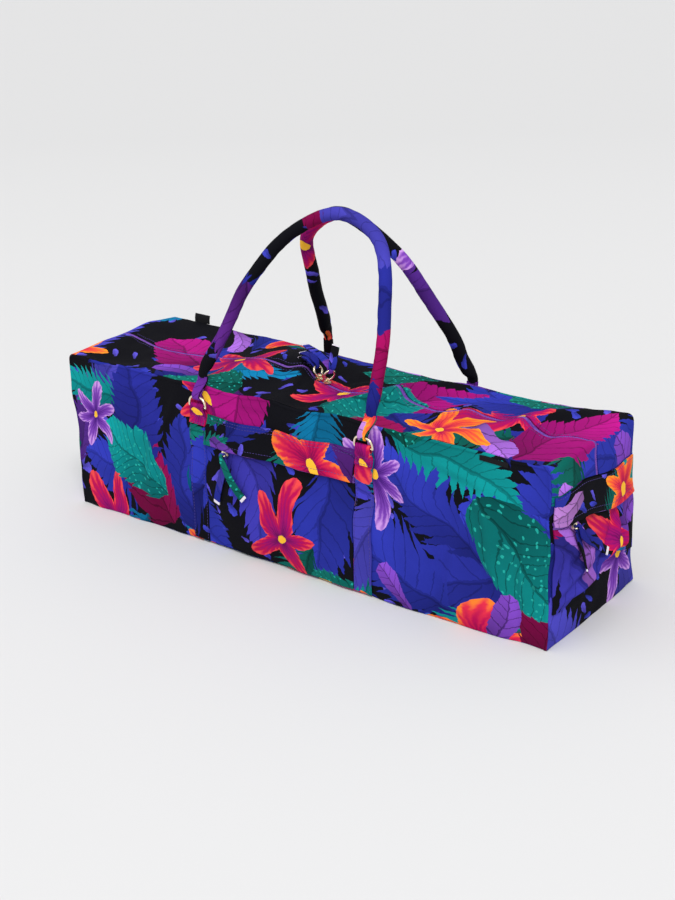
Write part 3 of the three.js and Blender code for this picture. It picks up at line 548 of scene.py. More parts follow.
for end, side in (("left", -1), ("right", 1)):
    share = 2 * graded(80)[:, None] - 1
    flat_y = (HALF_DEPTH - SEAM) * share
    z = mix(SEAM, END_SEAM_Z - END_FALL[end] * flat_y - SEAM, graded(72))
    y = end_y(end, HALF_DEPTH - SEAM, share, z)
    out = end_out(end, y, z)
    if end == "left":
        loose = ease((HALF_DEPTH - np.abs(flat_y)) / 14) * ease(z / 12) * ease((END_SEAM_Z - z) / 10)
        out = out + loose * (creases(y, z, LEFT_END_FOLDS) + 0.4 * slack(y, z, 24, 60))
    outer, flat = places(side * (HALF_LENGTH + out), y, z), places(side * flat_y, z)
    skin(f"end_wall_{end}", f"end_panel_{end}", outer, flat, (side, 0, 0), END_CUTS[end], (0.2, 0.178))


# Top. Two long panels sewn to the zip between them; they turn down over both ends. The bag is only
# part full, so the zip lies in cross folds, and the cloth is gathered where the zip holds it.
TOP_SAG, TOP_FADE, ZIP_WIDE, ZIP_MOUTH = 5.0, 2.2, 8.0, 3.1
TOP_CUT, SEWN_BESIDE_ZIP, SEWN_HALF = (1.5, 5.85), 7.4, 352
# Cross folds by x, height, reach, slant and the zip's sideways drift; creases for the front and the back.
TOP_FOLDS = (
    (-375, 9.5, 45, 0, 0),
    (-290, -3, 40, 0.2, -3),
    (-105, 15, 58, 0.15, 2),
    (-46, 8, 17, -0.5, 8),
    (25, -4, 30, 0.2, -5),
    (97, 14, 17, 0.45, 5),
    (165, -3, 26, 0, -4),
    (208, 5, 16, -0.3, 0),
    (277, 12, 17, 0.4, 4),
    (322, -4, 17, 0, -3),
)
TOP_CREASES = {
    -1: (
        (-220, -40, 30, 40, 7, 1.5),
        (-70, -45, 62, 34, 7, 1.6),
        (-10, -30, 120, 30, 6, 1.6),
        (60, -60, 50, 30, 7, 1.3),
        (130, -40, 125, 34, 6, 1.7),
        (190, -50, 60, 34, 7, 1.5),
        (250, -35, 118, 30, 6, 1.6),
        (310, -45, 55, 34, 7, 1.4),
    ),
    1: (
        (-240, 45, -28, 40, 7, 1.4),
        (-60, 40, 120, 32, 7, 1.7),
        (40, 45, 60, 36, 7, 1.6),
        (110, 50, 110, 34, 6, 1.6),
        (200, 45, 55, 34, 7, 1.5),
        (290, 45, 120, 34, 6, 1.6),
    ),
}


def back_seam(x, z):
    """Sideways place of the seam between the top and the back wall."""
    return HALF_DEPTH - DROOP_LEAN * back_droop(x) - right_lean(x, z)


def top_rise(x, y):
    """Height over the seam plane: cross folds less the slack, falling to the seams, less the back droop."""
    folds = sum(high * bell(x - at - slant * y, reach) for at, high, reach, slant, _ in TOP_FOLDS)
    share = y / np.where(y > 0, back_seam(x, HEIGHT), HALF_DEPTH)
    across = plump(np.clip(np.abs(share), 0, 1), TOP_FADE)
    return (folds - TOP_SAG) * across - DROOP_SAG * back_droop(x) * np.maximum(0, share) ** 2


def zip_drift(x):
    """Sideways place of the zip."""
    return hills(x, [(at, drift, reach) for at, _, reach, _, drift in TOP_FOLDS])


def top_run(edges, relief, counts):
    """Surface of the top along its whole run: up the left end, over, and down the right end.

    edges gives the sideways places at a station and height, relief the extra height of the flat stretch,
    and counts the stations of a drop, a turn and the flat. Places come back in millimetres.
    """
    drop, turn, flat = counts
    stretches = []
    for end, side in (("left", -1), ("right", 1)):
        x = side * (HALF_LENGTH - CORNER)
        rise = np.linspace(0, 1, drop, endpoint=False)[:, None]
        y = edges(x, mix(END_SEAM_Z, HEIGHT - CORNER, rise))
        z = mix(END_SEAM_Z - END_FALL[end] * y + SEAM, HEIGHT - CORNER, rise)
        fall = places(side * (HALF_LENGTH + end_out(end, y, z)), y, z)
        angle = np.linspace(0, np.pi / 2, turn, endpoint=False)[:, None]
        cos, sin = np.cos(angle), np.sin(angle)
        y = edges(x, HEIGHT + 0 * angle)
        reach = CORNER + end_out(end, y, HEIGHT - CORNER) * cos**2 + top_rise(x, y) * sin**2
        bend = places(side * (HALF_LENGTH - CORNER + cos * reach), y, HEIGHT - CORNER + sin * reach)
        stretches.append(np.concatenate((fall, bend)))
    x = np.linspace(-(HALF_LENGTH - CORNER), HALF_LENGTH - CORNER, flat)[:, None]
    y = edges(x, HEIGHT + 0 * x)
    over = places(x, y, HEIGHT + top_rise(x, y) + relief(x, y))
    return np.concatenate((stretches[0], over, stretches[1][::-1]))


def run_length(points):
    """Distance along a row of points."""
    steps = np.linalg.norm(np.diff(points, axis=0), axis=1)
    return np.concatenate(((0,), np.cumsum(steps)))


def met_at(line, distances):
    """Places on a line at distances along it."""
    spaced = run_length(line)
    return places(*(np.interp(distances, spaced, axis) for axis in line.T))


def circle(count):
    """Angles evenly round a circle."""
    return 2 * np.pi * np.arange(count) / count


def tube(index, closed=False):
    """Faces round rows of rings, from the numbers of their points, with both end caps last if not closed."""
    here, ahead = (index, np.roll(index, -1, axis=-2)) if closed else (index[..., :-1, :], index[..., 1:, :])
    faces = places(here, np.roll(here, -1, axis=-1), np.roll(ahead, -1, axis=-1), ahead)
    faces = faces.reshape(-1, 4).tolist()
    for cap in () if closed else (index[..., 0, ::-1], index[..., -1, :]):
        faces += cap.reshape(-1, index.shape[-1]).tolist()
    return faces


# Sewing thread: twisted polyester in violet, with a soft gloss along each stitch.
thread, tree, surface = finish("violet_polyester_thread")
twist = add(tree, "TexNoise", {0: add(tree, "TexCoord", out=3), 2: 900.0, 3: 1.0})
violet = ramp(twist, "LINEAR", (0.3, "#2c2260"), (0.7, "#543f98"))
plug(tree, surface, {"Base Color": violet, "Roughness": 0.5})


def stitches(name, rows, pitch=4.4, long=3.2, thick=0.7):
    """Rows of stitches: along each path, every pitch, a small spindle that lies on the cloth.

    Each row is a path and its outward direction.
    """
    spindle, angle = np.linspace(-1, 1, 5), circle(6)
    ring = thick / 2 * np.sqrt(np.maximum(0.06, 1 - spindle**2))[:, None]
    all_points = []
    for path, outward in rows:
        middle = np.arange(pitch / 2, run_length(path)[-1], pitch)
        spot = met_at(path, middle)
        way = unit(met_at(path, middle + pitch / 4) - spot)
        side = np.cross(outward, way)
        all_points.append(
            spot[:, None, None]
            + way[:, None, None] * (spindle * long / 2)[:, None, None]
            + side[:, None, None] * (ring * np.cos(angle))[..., None]
            + np.asarray(outward) * (ring * np.sin(angle) + 0.1)[..., None]
        )
    points = np.concatenate(all_points)
    faces = tube(np.arange(points.size // 3).reshape(points.shape[:3]))
    points = points.reshape(-1, 3)
    build(name, None, "canvas", (thread,), points, faces, points[:, :2], crisp=1.6)


zip_rows = []
for side, name in ((-1, "front"), (1, "back")):
    across = graded(56)

    def halves(x, z):
        """From the seam with the wall to the edge of the zip."""
        seam = back_seam(x, z) if side > 0 else HALF_DEPTH + 0 * z
        return mix(side * (seam - SEAM), zip_drift(x) + side * ZIP_MOUTH, across)

    def gathers(x, y):
        """Creases across the panel and gathers at both of its long edges."""
        to_zip = np.abs(y - zip_drift(x))
        to_seam = np.abs(back_seam(x, HEIGHT) - y) if side > 0 else HALF_DEPTH + y
        free = ease((HALF_LENGTH - CORNER - np.abs(x)) / 12) * ease(to_seam / 10)
        near_zip = ease((to_zip - 4.4) / 3)
        under_pulls = 1 - bell(x + 45, 42) * bell(y - 30, 30) * (side > 0)
        lie = creases(x, y, TOP_CREASES[side]) + 0.4 * slack(x, y, 38 + side, 55)
        drawn = puckers(x, to_zip, 30 + side, 22, 14) + lie
        return free * (near_zip * under_pulls * drawn + 0.5 * puckers(x, to_seam, 34 + side, 26, 10))

    outer = top_run(halves, gathers, (18, 9, 300))
    flat = places(run_length(outer[:, 28])[:, None], outer[..., 1])
    skin(f"top_{name}", f"top_panel_{name}", outer, flat, (0, 0, 1), TOP_CUT, (0.1, 0.83), "gathered")
    x = np.linspace(-SEWN_HALF, SEWN_HALF, 500)
    y = zip_drift(x) + side * SEWN_BESIDE_ZIP
    zip_rows.append((places(x, y, HEIGHT + top_rise(x, y) + gathers(x, y)), (0.0, 0.0, 1.0)))
stitches("zip_stitches", zip_rows)


# Top zip. Nylon coil zip with a purple tape: two rows of coil mesh into one round ridge along the
# middle. The tape is sewn under the folded edges of the cloth. Coils are drawn 2.4 mm apart.
COIL_PITCH, COIL_HIGH, TAPE_SUNK, TAPE_THICK = 2.4, 2.8, 2.4, 1.2

# Dyed nylon: moulded coils with a soft gloss, darker between them.
zip_nylon, tree, surface = finish("purple_nylon_coil")
dusty = add(tree, "TexNoise", {0: add(tree, "UVMap", uv_map="cloth"), 2: 300.0, 3: 2.0})
plug(tree, surface, {
    "Base Color": ramp(dusty, "LINEAR", (0.3, "#5a2c92"), (0.7, "#7d46b6")),
    "Roughness": add(tree, "MapRange", {0: dusty, 3: 0.38, 4: 0.55}),
})


def coil(across, length):
    """Height of the coil over its tape: a round ridge, beaded along, the two halves out of step."""
    ridge = np.sqrt(np.maximum(0, 1 - (across / 0.62) ** 2))
    beads = 0.8 + 0.2 * np.sin(2 * np.pi * length / COIL_PITCH + np.where(across > 0, np.pi, 0))
    return COIL_HIGH * ridge * beads - TAPE_SUNK


def zipped(name, node, outer, flat, facing):
    """Zip from the face of its coil and tape."""
    skin(name, node, outer, flat, facing, slot="zip", material=zip_nylon, thick=TAPE_THICK)


across = np.linspace(-1, 1, 13)
tape = top_run(lambda x, z: zip_drift(x) + across * ZIP_WIDE / 2 + 0 * z, lambda x, y: 0 * y, (80, 22, 1300))
length = run_length(tape[:, 6])[:, None]
outer = tape + unit(np.cross(*np.gradient(tape, axis=(0, 1)))) * coil(across, length)[..., None]
zipped("top_zip_coil", "top_zip", outer, places(length, 4 * across), (0, 0, 1))


# Straps. Strips of the canvas folded to four layers and sewn down both edges; each runs up the wall
# from the base seam, gathers through the flat side of its ring and is turned down behind it.
STRAP_WIDE, STRAP_FOLD_WIDE, STRAP_FOOT, STRAP_TURN_DOWN, STRAP_HEM = 26.0, 21.0, 3.0, 24.0, 2.4
RING_WIRE, RING_HALF, RING_RISE = 1.6, 13.0, 12.0
STRAP_OUT = GAP + CLOTH / 2
STRAP_TURN = RING_WIRE + GAP + CLOTH / 2
BAR_OUT = STRAP_OUT + STRAP_TURN
STRAP_LAID = STRAP_OUT + CLOTH + GAP
# Name, side, x at the bar, drift down to the base, height of the bar, cuts of the strap and of its tab.
STRAPS = (
    ("front_left", -1, -131.0, -10.0, 193.0, (3.2, 6.22), (1.05, 5.5)),
    ("front_right", -1, 132.0, -6.0, 193.0, (0.77, 5.42), (1.335, 4.95)),
    ("back_left", 1, -86.0, -4.0, 199.0, (1.1, 6.1), (2.5, 6.15)),
    ("back_right", 1, 142.0, 4.0, 173.0, (2.6, 6.1), (2.5, 6.45)),
)


def beside_wall(side, x, z, out):
    """Place in front of a long wall, a distance out from its outer face."""
    wall = front_out(x, z) if side < 0 else back_out(x, z)
    return places(x, side * (HALF_DEPTH + wall + out), z)


def strap_x(strap, z):
    """Sideways place of a strap's middle at a height."""
    x, drift, bar = strap[2:5]
    return x + drift * (1 - z / bar)


def bent(value, power):
    """Power of a value's size, with its sign kept."""
    return np.sign(value) * np.abs(value) ** power


def oblong(count, corner):
    """Profile of a band: a flattened ring of half width and half height 1, squarer for a larger corner."""
    return places(bent(np.cos(circle(count)), 1 / corner), bent(np.sin(circle(count)), 0.6))


def swept(path, side, wide, thick, profile, closed=False):
    """Profile carried along a path: at each station the side direction is squared to the path.

    Gives the points, the faces with both end caps last, and the cloth map: across and along.
    """
    if closed:
        tangent = unit(np.roll(path, -1, axis=0) - np.roll(path, 1, axis=0))
    else:
        tangent = unit(np.gradient(path, axis=0))
    side = np.broadcast_to(np.asarray(side, float), path.shape)
    side = unit(side - tangent * (side * tangent).sum(axis=1, keepdims=True))
    up = np.cross(tangent, side)
    across, over = wide / 2 * profile[:, 0], thick / 2 * profile[:, 1]
    points = path[:, None] + side[:, None] * across[..., None] + up[:, None] * over[..., None]
    faces = tube(np.arange(points.size // 3).reshape(points.shape[:2]), closed)
    return points.reshape(-1, 3), faces, places(across, run_length(path)[:, None]).reshape(-1, 2)


STRAP_PROFILE = oblong(28, 7)
strap_rows = []
for strap in STRAPS:
    name, side, _, _, bar, cut, _ = strap
    climb = np.linspace(STRAP_FOOT, bar, 90)
    angle = np.linspace(0, np.pi, 18)[1:-1]
    fall = np.linspace(bar, bar - STRAP_TURN_DOWN, 20)
    height = np.concatenate((climb, bar + 0 * angle, fall))
    round_bar = BAR_OUT - STRAP_TURN * np.cos(angle)
    turned_down = mix(BAR_OUT + STRAP_TURN, STRAP_LAID, ease((bar - fall) / 15))
    out = np.concatenate((STRAP_OUT + 0 * climb, round_bar, turned_down))
    path = beside_wall(side, strap_x(strap, height), height, out)
    path[len(climb) : len(climb) + len(angle), 2] += STRAP_TURN * np.sin(angle)
    wide = mix(STRAP_FOLD_WIDE, STRAP_WIDE, ease((bar - height - 1) / 11))[:, None]
    band = swept(path, (1, 0, 0), wide, CLOTH, STRAP_PROFILE)
    build(f"strap_{name}_webbing", f"strap_{name}", "canvas", (printed_canvas,), *band, cut)
    turn_foot, turn_top, inset = bar - STRAP_TURN_DOWN, bar - 13, STRAP_WIDE / 2 - STRAP_HEM
    across = np.linspace(-STRAP_WIDE / 2 + 3, STRAP_WIDE / 2 - 3, 12)
    for aside, height, out in (
        (-inset, np.linspace(STRAP_FOOT + 2, turn_foot - 2, 60), STRAP_OUT),
        (-inset, np.linspace(turn_foot + 1.5, turn_top, 10), STRAP_LAID),
        (inset, np.linspace(STRAP_FOOT + 2, turn_foot - 2, 60), STRAP_OUT),
        (inset, np.linspace(turn_foot + 1.5, turn_top, 10), STRAP_LAID),
        (across, turn_foot + 2, STRAP_LAID),
        (across, turn_top, STRAP_LAID),
    ):
        row = beside_wall(side, strap_x(strap, height) + aside, height, out + CLOTH / 2)
        strap_rows.append((row, (0.0, side, 0.0)))
stitches("strap_stitches", strap_rows)


# D rings. Bent and welded wire, plated pale gold and polished; the flat side sits in the strap and the
# bow carries the handle's tab.
# Pale gold plate over zinc: a bright warm metal, with fine rub marks that soften the gloss.
pale_gold, tree, surface = finish("pale_gold_plate")
rubbed = add(tree, "TexNoise", {0: add(tree, "TexCoord", out=3), 2: 260.0, 3: 3.0, 4: 0.6})
plug(tree, surface, {
    "Base Color": ramp(rubbed, "LINEAR", (0.3, "#e6d5b0"), (0.7, "#faf0da")),
    "Roughness": add(tree, "MapRange", {0: rubbed, 1: 0.3, 2: 0.7, 3: 0.14, 4: 0.26}),
    "Normal": add(tree, "Bump", {0: 0.05, 1: 0.0001, 3: rubbed}),
    "Metallic": 1.0,
})


def wired(path, side, radius, closed=False):
    """Round wire along a path."""
    return swept(path, side, 2 * radius, 2 * radius, places(np.cos(circle(14)), np.sin(circle(14))), closed)


cos, sin = np.cos(circle(72)), np.sin(circle(72))
bow = places(RING_HALF * bent(cos, 0.6), 0, RING_RISE * np.maximum(0, sin) ** 0.8)
bow = np.concatenate((bow, bow[:1]))
bow = met_at(bow, np.linspace(0, run_length(bow)[-1], 72, endpoint=False))
for name, side, x, _, bar, _, _ in STRAPS:
    wire = wired(beside_wall(side, x, bar, BAR_OUT) + bow, (0, 1, 0), RING_WIRE, closed=True)
    build(f"ring_{name}_wire", f"ring_{name}", "metal", (pale_gold,), *wire)


# Handles. Canvas strips sewn into tubes round a soft core, about 17 mm thick. The tube's seam faces
# down and in; the cloth wrinkles on the inside of the bends, and each end is pinched onto its tab.
HANDLE_RADIUS, HANDLE_HEEL = {"front": 7.9, "back": 8.6}, 7.0
HANDLE_CUTS = {"front": (1.25, 5.6), "back": (2.95, 5.65)}
HANDLES = {
    "front": (
        (-125, -101, 230),
        (-109, -76, 281),
        (-86, -47, 346),
        (-39, -22, 406),
        (34, -9.4, 438),
        (96, -19, 414),
        (125, -50, 340),
        (135, -77, 281),
        (139, -101, 230),
    ),
    "back": (
        (-79, 101, 234),
        (-70, 77, 281),
        (-63, 54, 330),
        (-48, 28, 396),
        (22, 9.4, 433),
        (85, 28, 390),
        (114.5, 52, 334),
        (139, 80, 270),
        (142, 96, 234),
        (145, 105, 208),
    ),
}


def curved(points, count):
    """Smooth line through points, evenly spaced: cubic pieces with tangents from root distances."""
    ends = np.concatenate(((2 * points[0] - points[1],), points, (2 * points[-1] - points[-2],)))
    before, start, end, after = ends[:-3], ends[1:-2], ends[2:-1], ends[3:]
    roots = np.sqrt(np.linalg.norm(np.diff(ends, axis=0), axis=1))[:, None]
    gap0, gap1, gap2 = roots[:-2], roots[1:-1], roots[2:]
    leave = gap1 * ((start - before) / gap0 - (end - before) / (gap0 + gap1) + (end - start) / gap1)
    arrive = gap1 * ((end - start) / gap1 - (after - start) / (gap1 + gap2) + (after - end) / gap2)
    t = np.linspace(0, 1, 40, endpoint=False)[:, None, None]
    line = (
        start * (2 * t**3 - 3 * t**2 + 1)
        + leave * (t**3 - 2 * t**2 + t)
        + end * (3 * t**2 - 2 * t**3)
        + arrive * (t**3 - t**2)
    )
    line = np.concatenate((line.transpose(1, 0, 2).reshape(-1, 3), points[-1:]))
    return met_at(line, np.linspace(0, run_length(line)[-1], count))


for seed, down, name in ((50, 1, "front"), (51, -1, "back")):
    rows = np.asarray(HANDLES[name], float)
    heels = rows[[0, -1]] + (0, 0, HANDLE_HEEL)
    path = curved(np.concatenate((rows[:1], heels[:1], rows[1:-1], heels[1:], rows[-1:])), 330)
    along = run_length(path)[:, None]
    to_end = np.minimum(along, along[-1] - along)
    plane = np.linalg.svd(path - path.mean(axis=0))[2][2]
    plane = -down * np.sign(plane[1]) * plane
    angle = circle(40)
    from_inside = angle - down * np.pi / 2
    seam_line = np.angle(np.exp(1j * (from_inside - 0.5)))
    radius = HANDLE_RADIUS[name] - 0.9 * bell(seam_line, 0.16) + 0.35 * bell(np.abs(seam_line) - 0.4, 0.2)
    wrinkle = (0.06 + 0.16 * np.maximum(0, np.cos(from_inside))) * slack(along, 3 * angle, seed, 15)
    thick = 2 * (radius + wrinkle * ease(to_end / 20)) * mix(0.8, 1, ease(to_end / 3))
    slim, narrow = mix(0.4, 1, ease((to_end - 2) / 20)), mix(0.86, 1, ease((to_end - 2) / 34))
    profile = places(np.cos(angle), np.sin(angle))
    points, faces, _ = swept(path, plane, thick * slim, thick * narrow, profile)
    wrap = places(HANDLE_RADIUS[name] * np.abs(angle - np.pi), along).reshape(-1, 2)
    roll = build(f"handle_{name}_roll", f"handle_{name}", "handle", (printed_canvas,), points, faces, wrap,
                 HANDLE_CUTS[name], crisp=1.2)


# Handle tabs. Narrow canvas loops sewn into the ends of the handles; each passes down through its ring,
# round the bow and back up.
TAB_WIDE, TAB_FOLD_WIDE = 15.0, 10.0
TAB_PROFILE = oblong(22, 6)
for name, side, x, _, bar, _, cut in STRAPS:
    wall_name, end = name.split("_")
    foot = np.asarray(HANDLES[wall_name][0 if end == "left" else -1], float) - (0, 0, GAP)
    bow_top = beside_wall(side, x, bar, BAR_OUT) + (0, 0, RING_RISE)
    share = np.linspace(0.04, 1.1, 20)
    angle = np.linspace(0, np.pi, 16)[1:-1]
    leg = bow_top + (foot - bow_top) * places(ease(share), ease(share), share)
    apart = places(0, side * mix(STRAP_TURN, (CLOTH + GAP) / 2, ease(share)), 0)
    round_bow = bow_top + STRAP_TURN * places(0, side * np.cos(angle), -np.sin(angle))
    path = np.concatenate(((leg + apart)[::-1], round_bow, leg - apart))
    gathered = mix(TAB_FOLD_WIDE, TAB_WIDE, ease(share))
    wide = np.concatenate((gathered[::-1], np.full(len(angle), TAB_FOLD_WIDE), gathered))[:, None]
    loop = swept(path, (1, 0, 0), wide, CLOTH, TAB_PROFILE)
    build(f"handle_tab_{name}_loop", f"handle_tab_{name}", "handle", (printed_canvas,), *loop, cut)


# Front pocket. A patch of canvas between the two front straps, full towards its foot, closed by a zip
# under a flap whose lower edge stands off the wall.
POCKET_BOTTOM, POCKET_TOP, FLAP_BOTTOM, FLAP_TOP = 3.0, 141.5, 144.5, 185.0
POCKET_PUFF, POCKET_LOW, POCKET_CLEAR, FLAP_STAND, ZIP_THICK = 9.0, 0.42, 1.0, 4.0, 1.8
POCKET_FOLDS = (
    (-80, 96, 66, 34, 7, 1.3),
    (-30, 60, 40, 40, 9, 1.2),
    (35, 84, 118, 36, 8, 1.2),
    (78, 50, 70, 34, 8, 1.2),
    (20, 120, 12, 50, 6, 0.9),
)


def pocket_x(share, z):
    """Sideways place across the pocket, from strap to strap."""
    beside = STRAP_WIDE / 2 + POCKET_CLEAR
    return mix(strap_x(STRAPS[0], z) + beside, strap_x(STRAPS[1], z) - beside, share)


def upright(share, fullest):
    """Sine of the rise from both ends of a pocket to the share of its height where it is fullest."""
    rise = np.where(share < fullest, share / fullest, (1 - share) / (1 - fullest))
    return np.sin(np.clip(rise, 0, 1) * np.pi / 2)


def pocket_out(share, z):
    """How far the pocket's face stands off the wall: a belly that is fullest low down."""
    belly = upright((z - POCKET_BOTTOM) / (POCKET_TOP - POCKET_BOTTOM), POCKET_LOW) ** 1.2
    return GAP + CLOTH + POCKET_PUFF * plump(2 * share - 1, 4) * belly


def hem(above):
    """Turned edge of a flap by the height above it: a round hem and the dent of its stitches."""
    return 0.5 * bell(above - 1.5, 2.2) - 0.35 * bell(above - 6, 1.2)


def flap_face(share, rows):
    """Outer face of the flap: it stands off more towards its loose lower edge, which waves and has a hem."""
    z = mix(FLAP_BOTTOM, FLAP_TOP, rows)
    x = pocket_x(share, z)
    wave = 1 + 0.22 * slack(x, 0, 64, 60) * ease(share / 0.1) * ease((1 - share) / 0.1)
    off = FLAP_STAND * (1 - rows) ** 1.2 * wave + hem(z - FLAP_BOTTOM)
    return beside_wall(-1, x, z, GAP + CLOTH + off)


def covered_coil(across, length):
    """Face of a pocket's zip: the same coil pressed flatter under its flap."""
    return GAP + ZIP_THICK + 0.4 * (coil(across, length) + TAPE_THICK)


share = graded(110)[:, None]
z = mix(POCKET_BOTTOM, POCKET_TOP, graded(70))
x = pocket_x(share, z)
inside = ease(share / 0.08) * ease((1 - share) / 0.08)
inside = inside * ease((z - POCKET_BOTTOM) / 12) * ease((POCKET_TOP - z) / 12)
behind_pull = 1 - bell(x + 76, 38) * bell(z - 112, 44)
out = pocket_out(share, z) + inside * behind_pull * (creases(x, z, POCKET_FOLDS) + 0.35 * slack(x, z, 60, 45))
outer = beside_wall(-1, x, z, out)
skin("front_pocket", "front_pocket_panel", outer, places(x, z), (0, -1, 0), (2.95, 6.38), (0.243, 0.141))

outer = flap_face(graded(120)[:, None], graded(26))
skin("front_flap", "front_pocket_flap", outer, outer[..., ::2], (0, -1, 0), (2.55, 4.47), (0.236, 0.04))

across = np.linspace(-1, 1, 11)
z = POCKET_TOP + GAP + (across + 1) * ZIP_WIDE / 2
x = pocket_x(np.linspace(0, 1, 420)[:, None], z)
outer = beside_wall(-1, x, z, covered_coil(across, x))
zipped("front_pocket_coil", "front_pocket_zip", outer, places(x, z), (0, -1, 0))

sewn = np.linspace(0.012, 0.988, 90)
stitches("flap_stitches", [(flap_face(sewn, row), (0.0, -1.0, 0.0)) for row in (0.15, 0.84, 0.94)])


# End pocket. A slack canvas pocket on the right end, closed by a zip under a band. Its top falls from
# front to back and its foot arches up behind the middle, so the loose cloth hangs in slanting folds.
END_EDGE, END_TOP, END_TOP_FALL, END_LOW, END_PUFF, END_LOWEST = 4.0, 132.0, 0.15, 43.0, 18.0, 0.26
END_ARCH_RISE, END_ARCH_Y, END_ARCH_REACH = 33.0, 12.0, 55.0
END_BELLY_FRONT, END_BELLY_BACK, END_BELLY_TAPER = 4, 2, 2
END_BAND_LOW, END_BAND_TOP, BAND_STAND = 4.0, 1.0, 4.0
END_HALF = HALF_DEPTH - END_EDGE
# Hanging folds by y, z, depth, reach and lean; finer ones as in creases.
END_FOLDS = ((-72, 92, 6, 10, 0.15), (-4, 96, 6, 12, 0.7), (42, 98, 4, 11, 0.6))
END_CREASES = (
    (-28, 74, 19, 55, 6, 7.0),
    (-60, 92, 40, 30, 5, 5.0),
    (-68, 116, 100, 22, 5, 4.0),
    (-84, 84, 70, 26, 5, 4.0),
    (14, 100, 34, 34, 5, 5.0),
    (46, 92, 80, 34, 6, 4.5),
    (72, 84, 86, 28, 5, 2.0),
)


def beyond_end(y, z, out):
    """Place beyond the right end, a distance out from its outer face."""
    return places(HALF_LENGTH + end_out("right", y, z) + out, y, z)


def end_low(y):
    """Foot of the end pocket, arched up behind the middle."""
    return END_LOW + END_ARCH_RISE * bell(y - END_ARCH_Y, END_ARCH_REACH)


def end_top(y):
    """Top of the end pocket, falling from front to back."""
    return END_TOP - END_TOP_FALL * y


def end_pocket_out(y, z):
    """How far the end pocket stands off: a low belly cut by slanting folds."""
    share = y / END_HALF
    width = np.where(y > 0, plump(share, END_BELLY_BACK) ** END_BELLY_TAPER, plump(share, END_BELLY_FRONT))
    belly = width * upright((z - end_low(y)) / (end_top(y) - end_low(y)), END_LOWEST) ** 1.3
    cuts = sum(
        deep * bell(y - at_y - lean * (z - at_z), reach) for at_y, at_z, deep, reach, lean in END_FOLDS
    )
    return GAP + CLOTH + np.maximum(0, END_PUFF - cuts) * belly


def band_face(share, rows):
    """Outer face of the band: it stands off more towards its loose lower edge, which waves and has a hem."""
    flat_y = END_HALF * share
    low, high = end_top(flat_y) + END_BAND_LOW, END_SEAM_Z - END_FALL["right"] * flat_y - END_BAND_TOP
    z = mix(low, high, rows)
    wave = 1 + 0.25 * slack(flat_y, 0, 74, 50) * ease((1 - np.abs(share)) / 0.2)
    off = BAND_STAND * plump(share, 4) * (1 - rows) ** 1.2 * wave + (ZIP_THICK + GAP) * (1 - rows)
    return beyond_end(end_y("right", END_HALF, share, z), z, GAP + CLOTH + off + hem(z - low))


share, rows = 2 * graded(100)[:, None] - 1, graded(60)
flat_y = END_HALF * share
z = mix(end_low(flat_y), end_top(flat_y), rows)
y = end_y("right", END_HALF, share, z)
inside = ease((1 - np.abs(share)) / 0.1) * ease(rows / 0.14) * ease((1 - rows) / 0.14)
behind_pull = bell(flat_y + 40, 34) * bell(z - 106, 36)
folds = np.minimum(creases(flat_y, z, END_CREASES) + 0.4 * slack(flat_y, z, 70, 40), mix(9, 0.8, behind_pull))
outer, flat = beyond_end(y, z, end_pocket_out(flat_y, z) + inside * folds), places(flat_y, z)
skin("end_pocket", "end_pocket_panel", outer, flat, (1, 0, 0), (0.75, 5.55), (0.192, 0.11), "gathered")

outer = band_face(2 * graded(90)[:, None] - 1, graded(26))
skin("end_band", "end_pocket_band", outer, outer[..., 1:], (1, 0, 0), (2.97, 5.215), (0.192, 0.045))

share = np.linspace(-1, 1, 340)[:, None]
flat_y = END_HALF * share
z = end_top(flat_y) + GAP + (across + 1) * ZIP_WIDE / 2
outer = beyond_end(end_y("right", END_HALF, share, z), z, covered_coil(across, flat_y))
zipped("end_pocket_coil", "end_pocket_zip", outer, places(flat_y, z), (1, 0, 0))

sewn = np.linspace(-0.98, 0.98, 90)
stitches("band_stitches", [(band_face(sewn, row), (1.0, 0.0, 0.0)) for row in (0.15, 0.94)])


# Zip sliders. Die-cast bodies of two plates with a slot between them for the coil, and a wire bow on top.
# The two on the top zip carry round rings; the pocket ones take their pulls straight through the bow.
SLIDER_LONG, SLIDER_WIDE, SLIDER_HIGH, SLIDER_WIRE, SLIDER_CLEAR, SLIDER_DROP = 10.0, 8.5, 3.0, 0.8, 1.1, 0.8
RING_BOW, STRIP_BOW = (3.0, 4.5), (4.2, 4.6)
PULL_RING_RADIUS, PULL_RING_WIRE = 7.2, 1.4


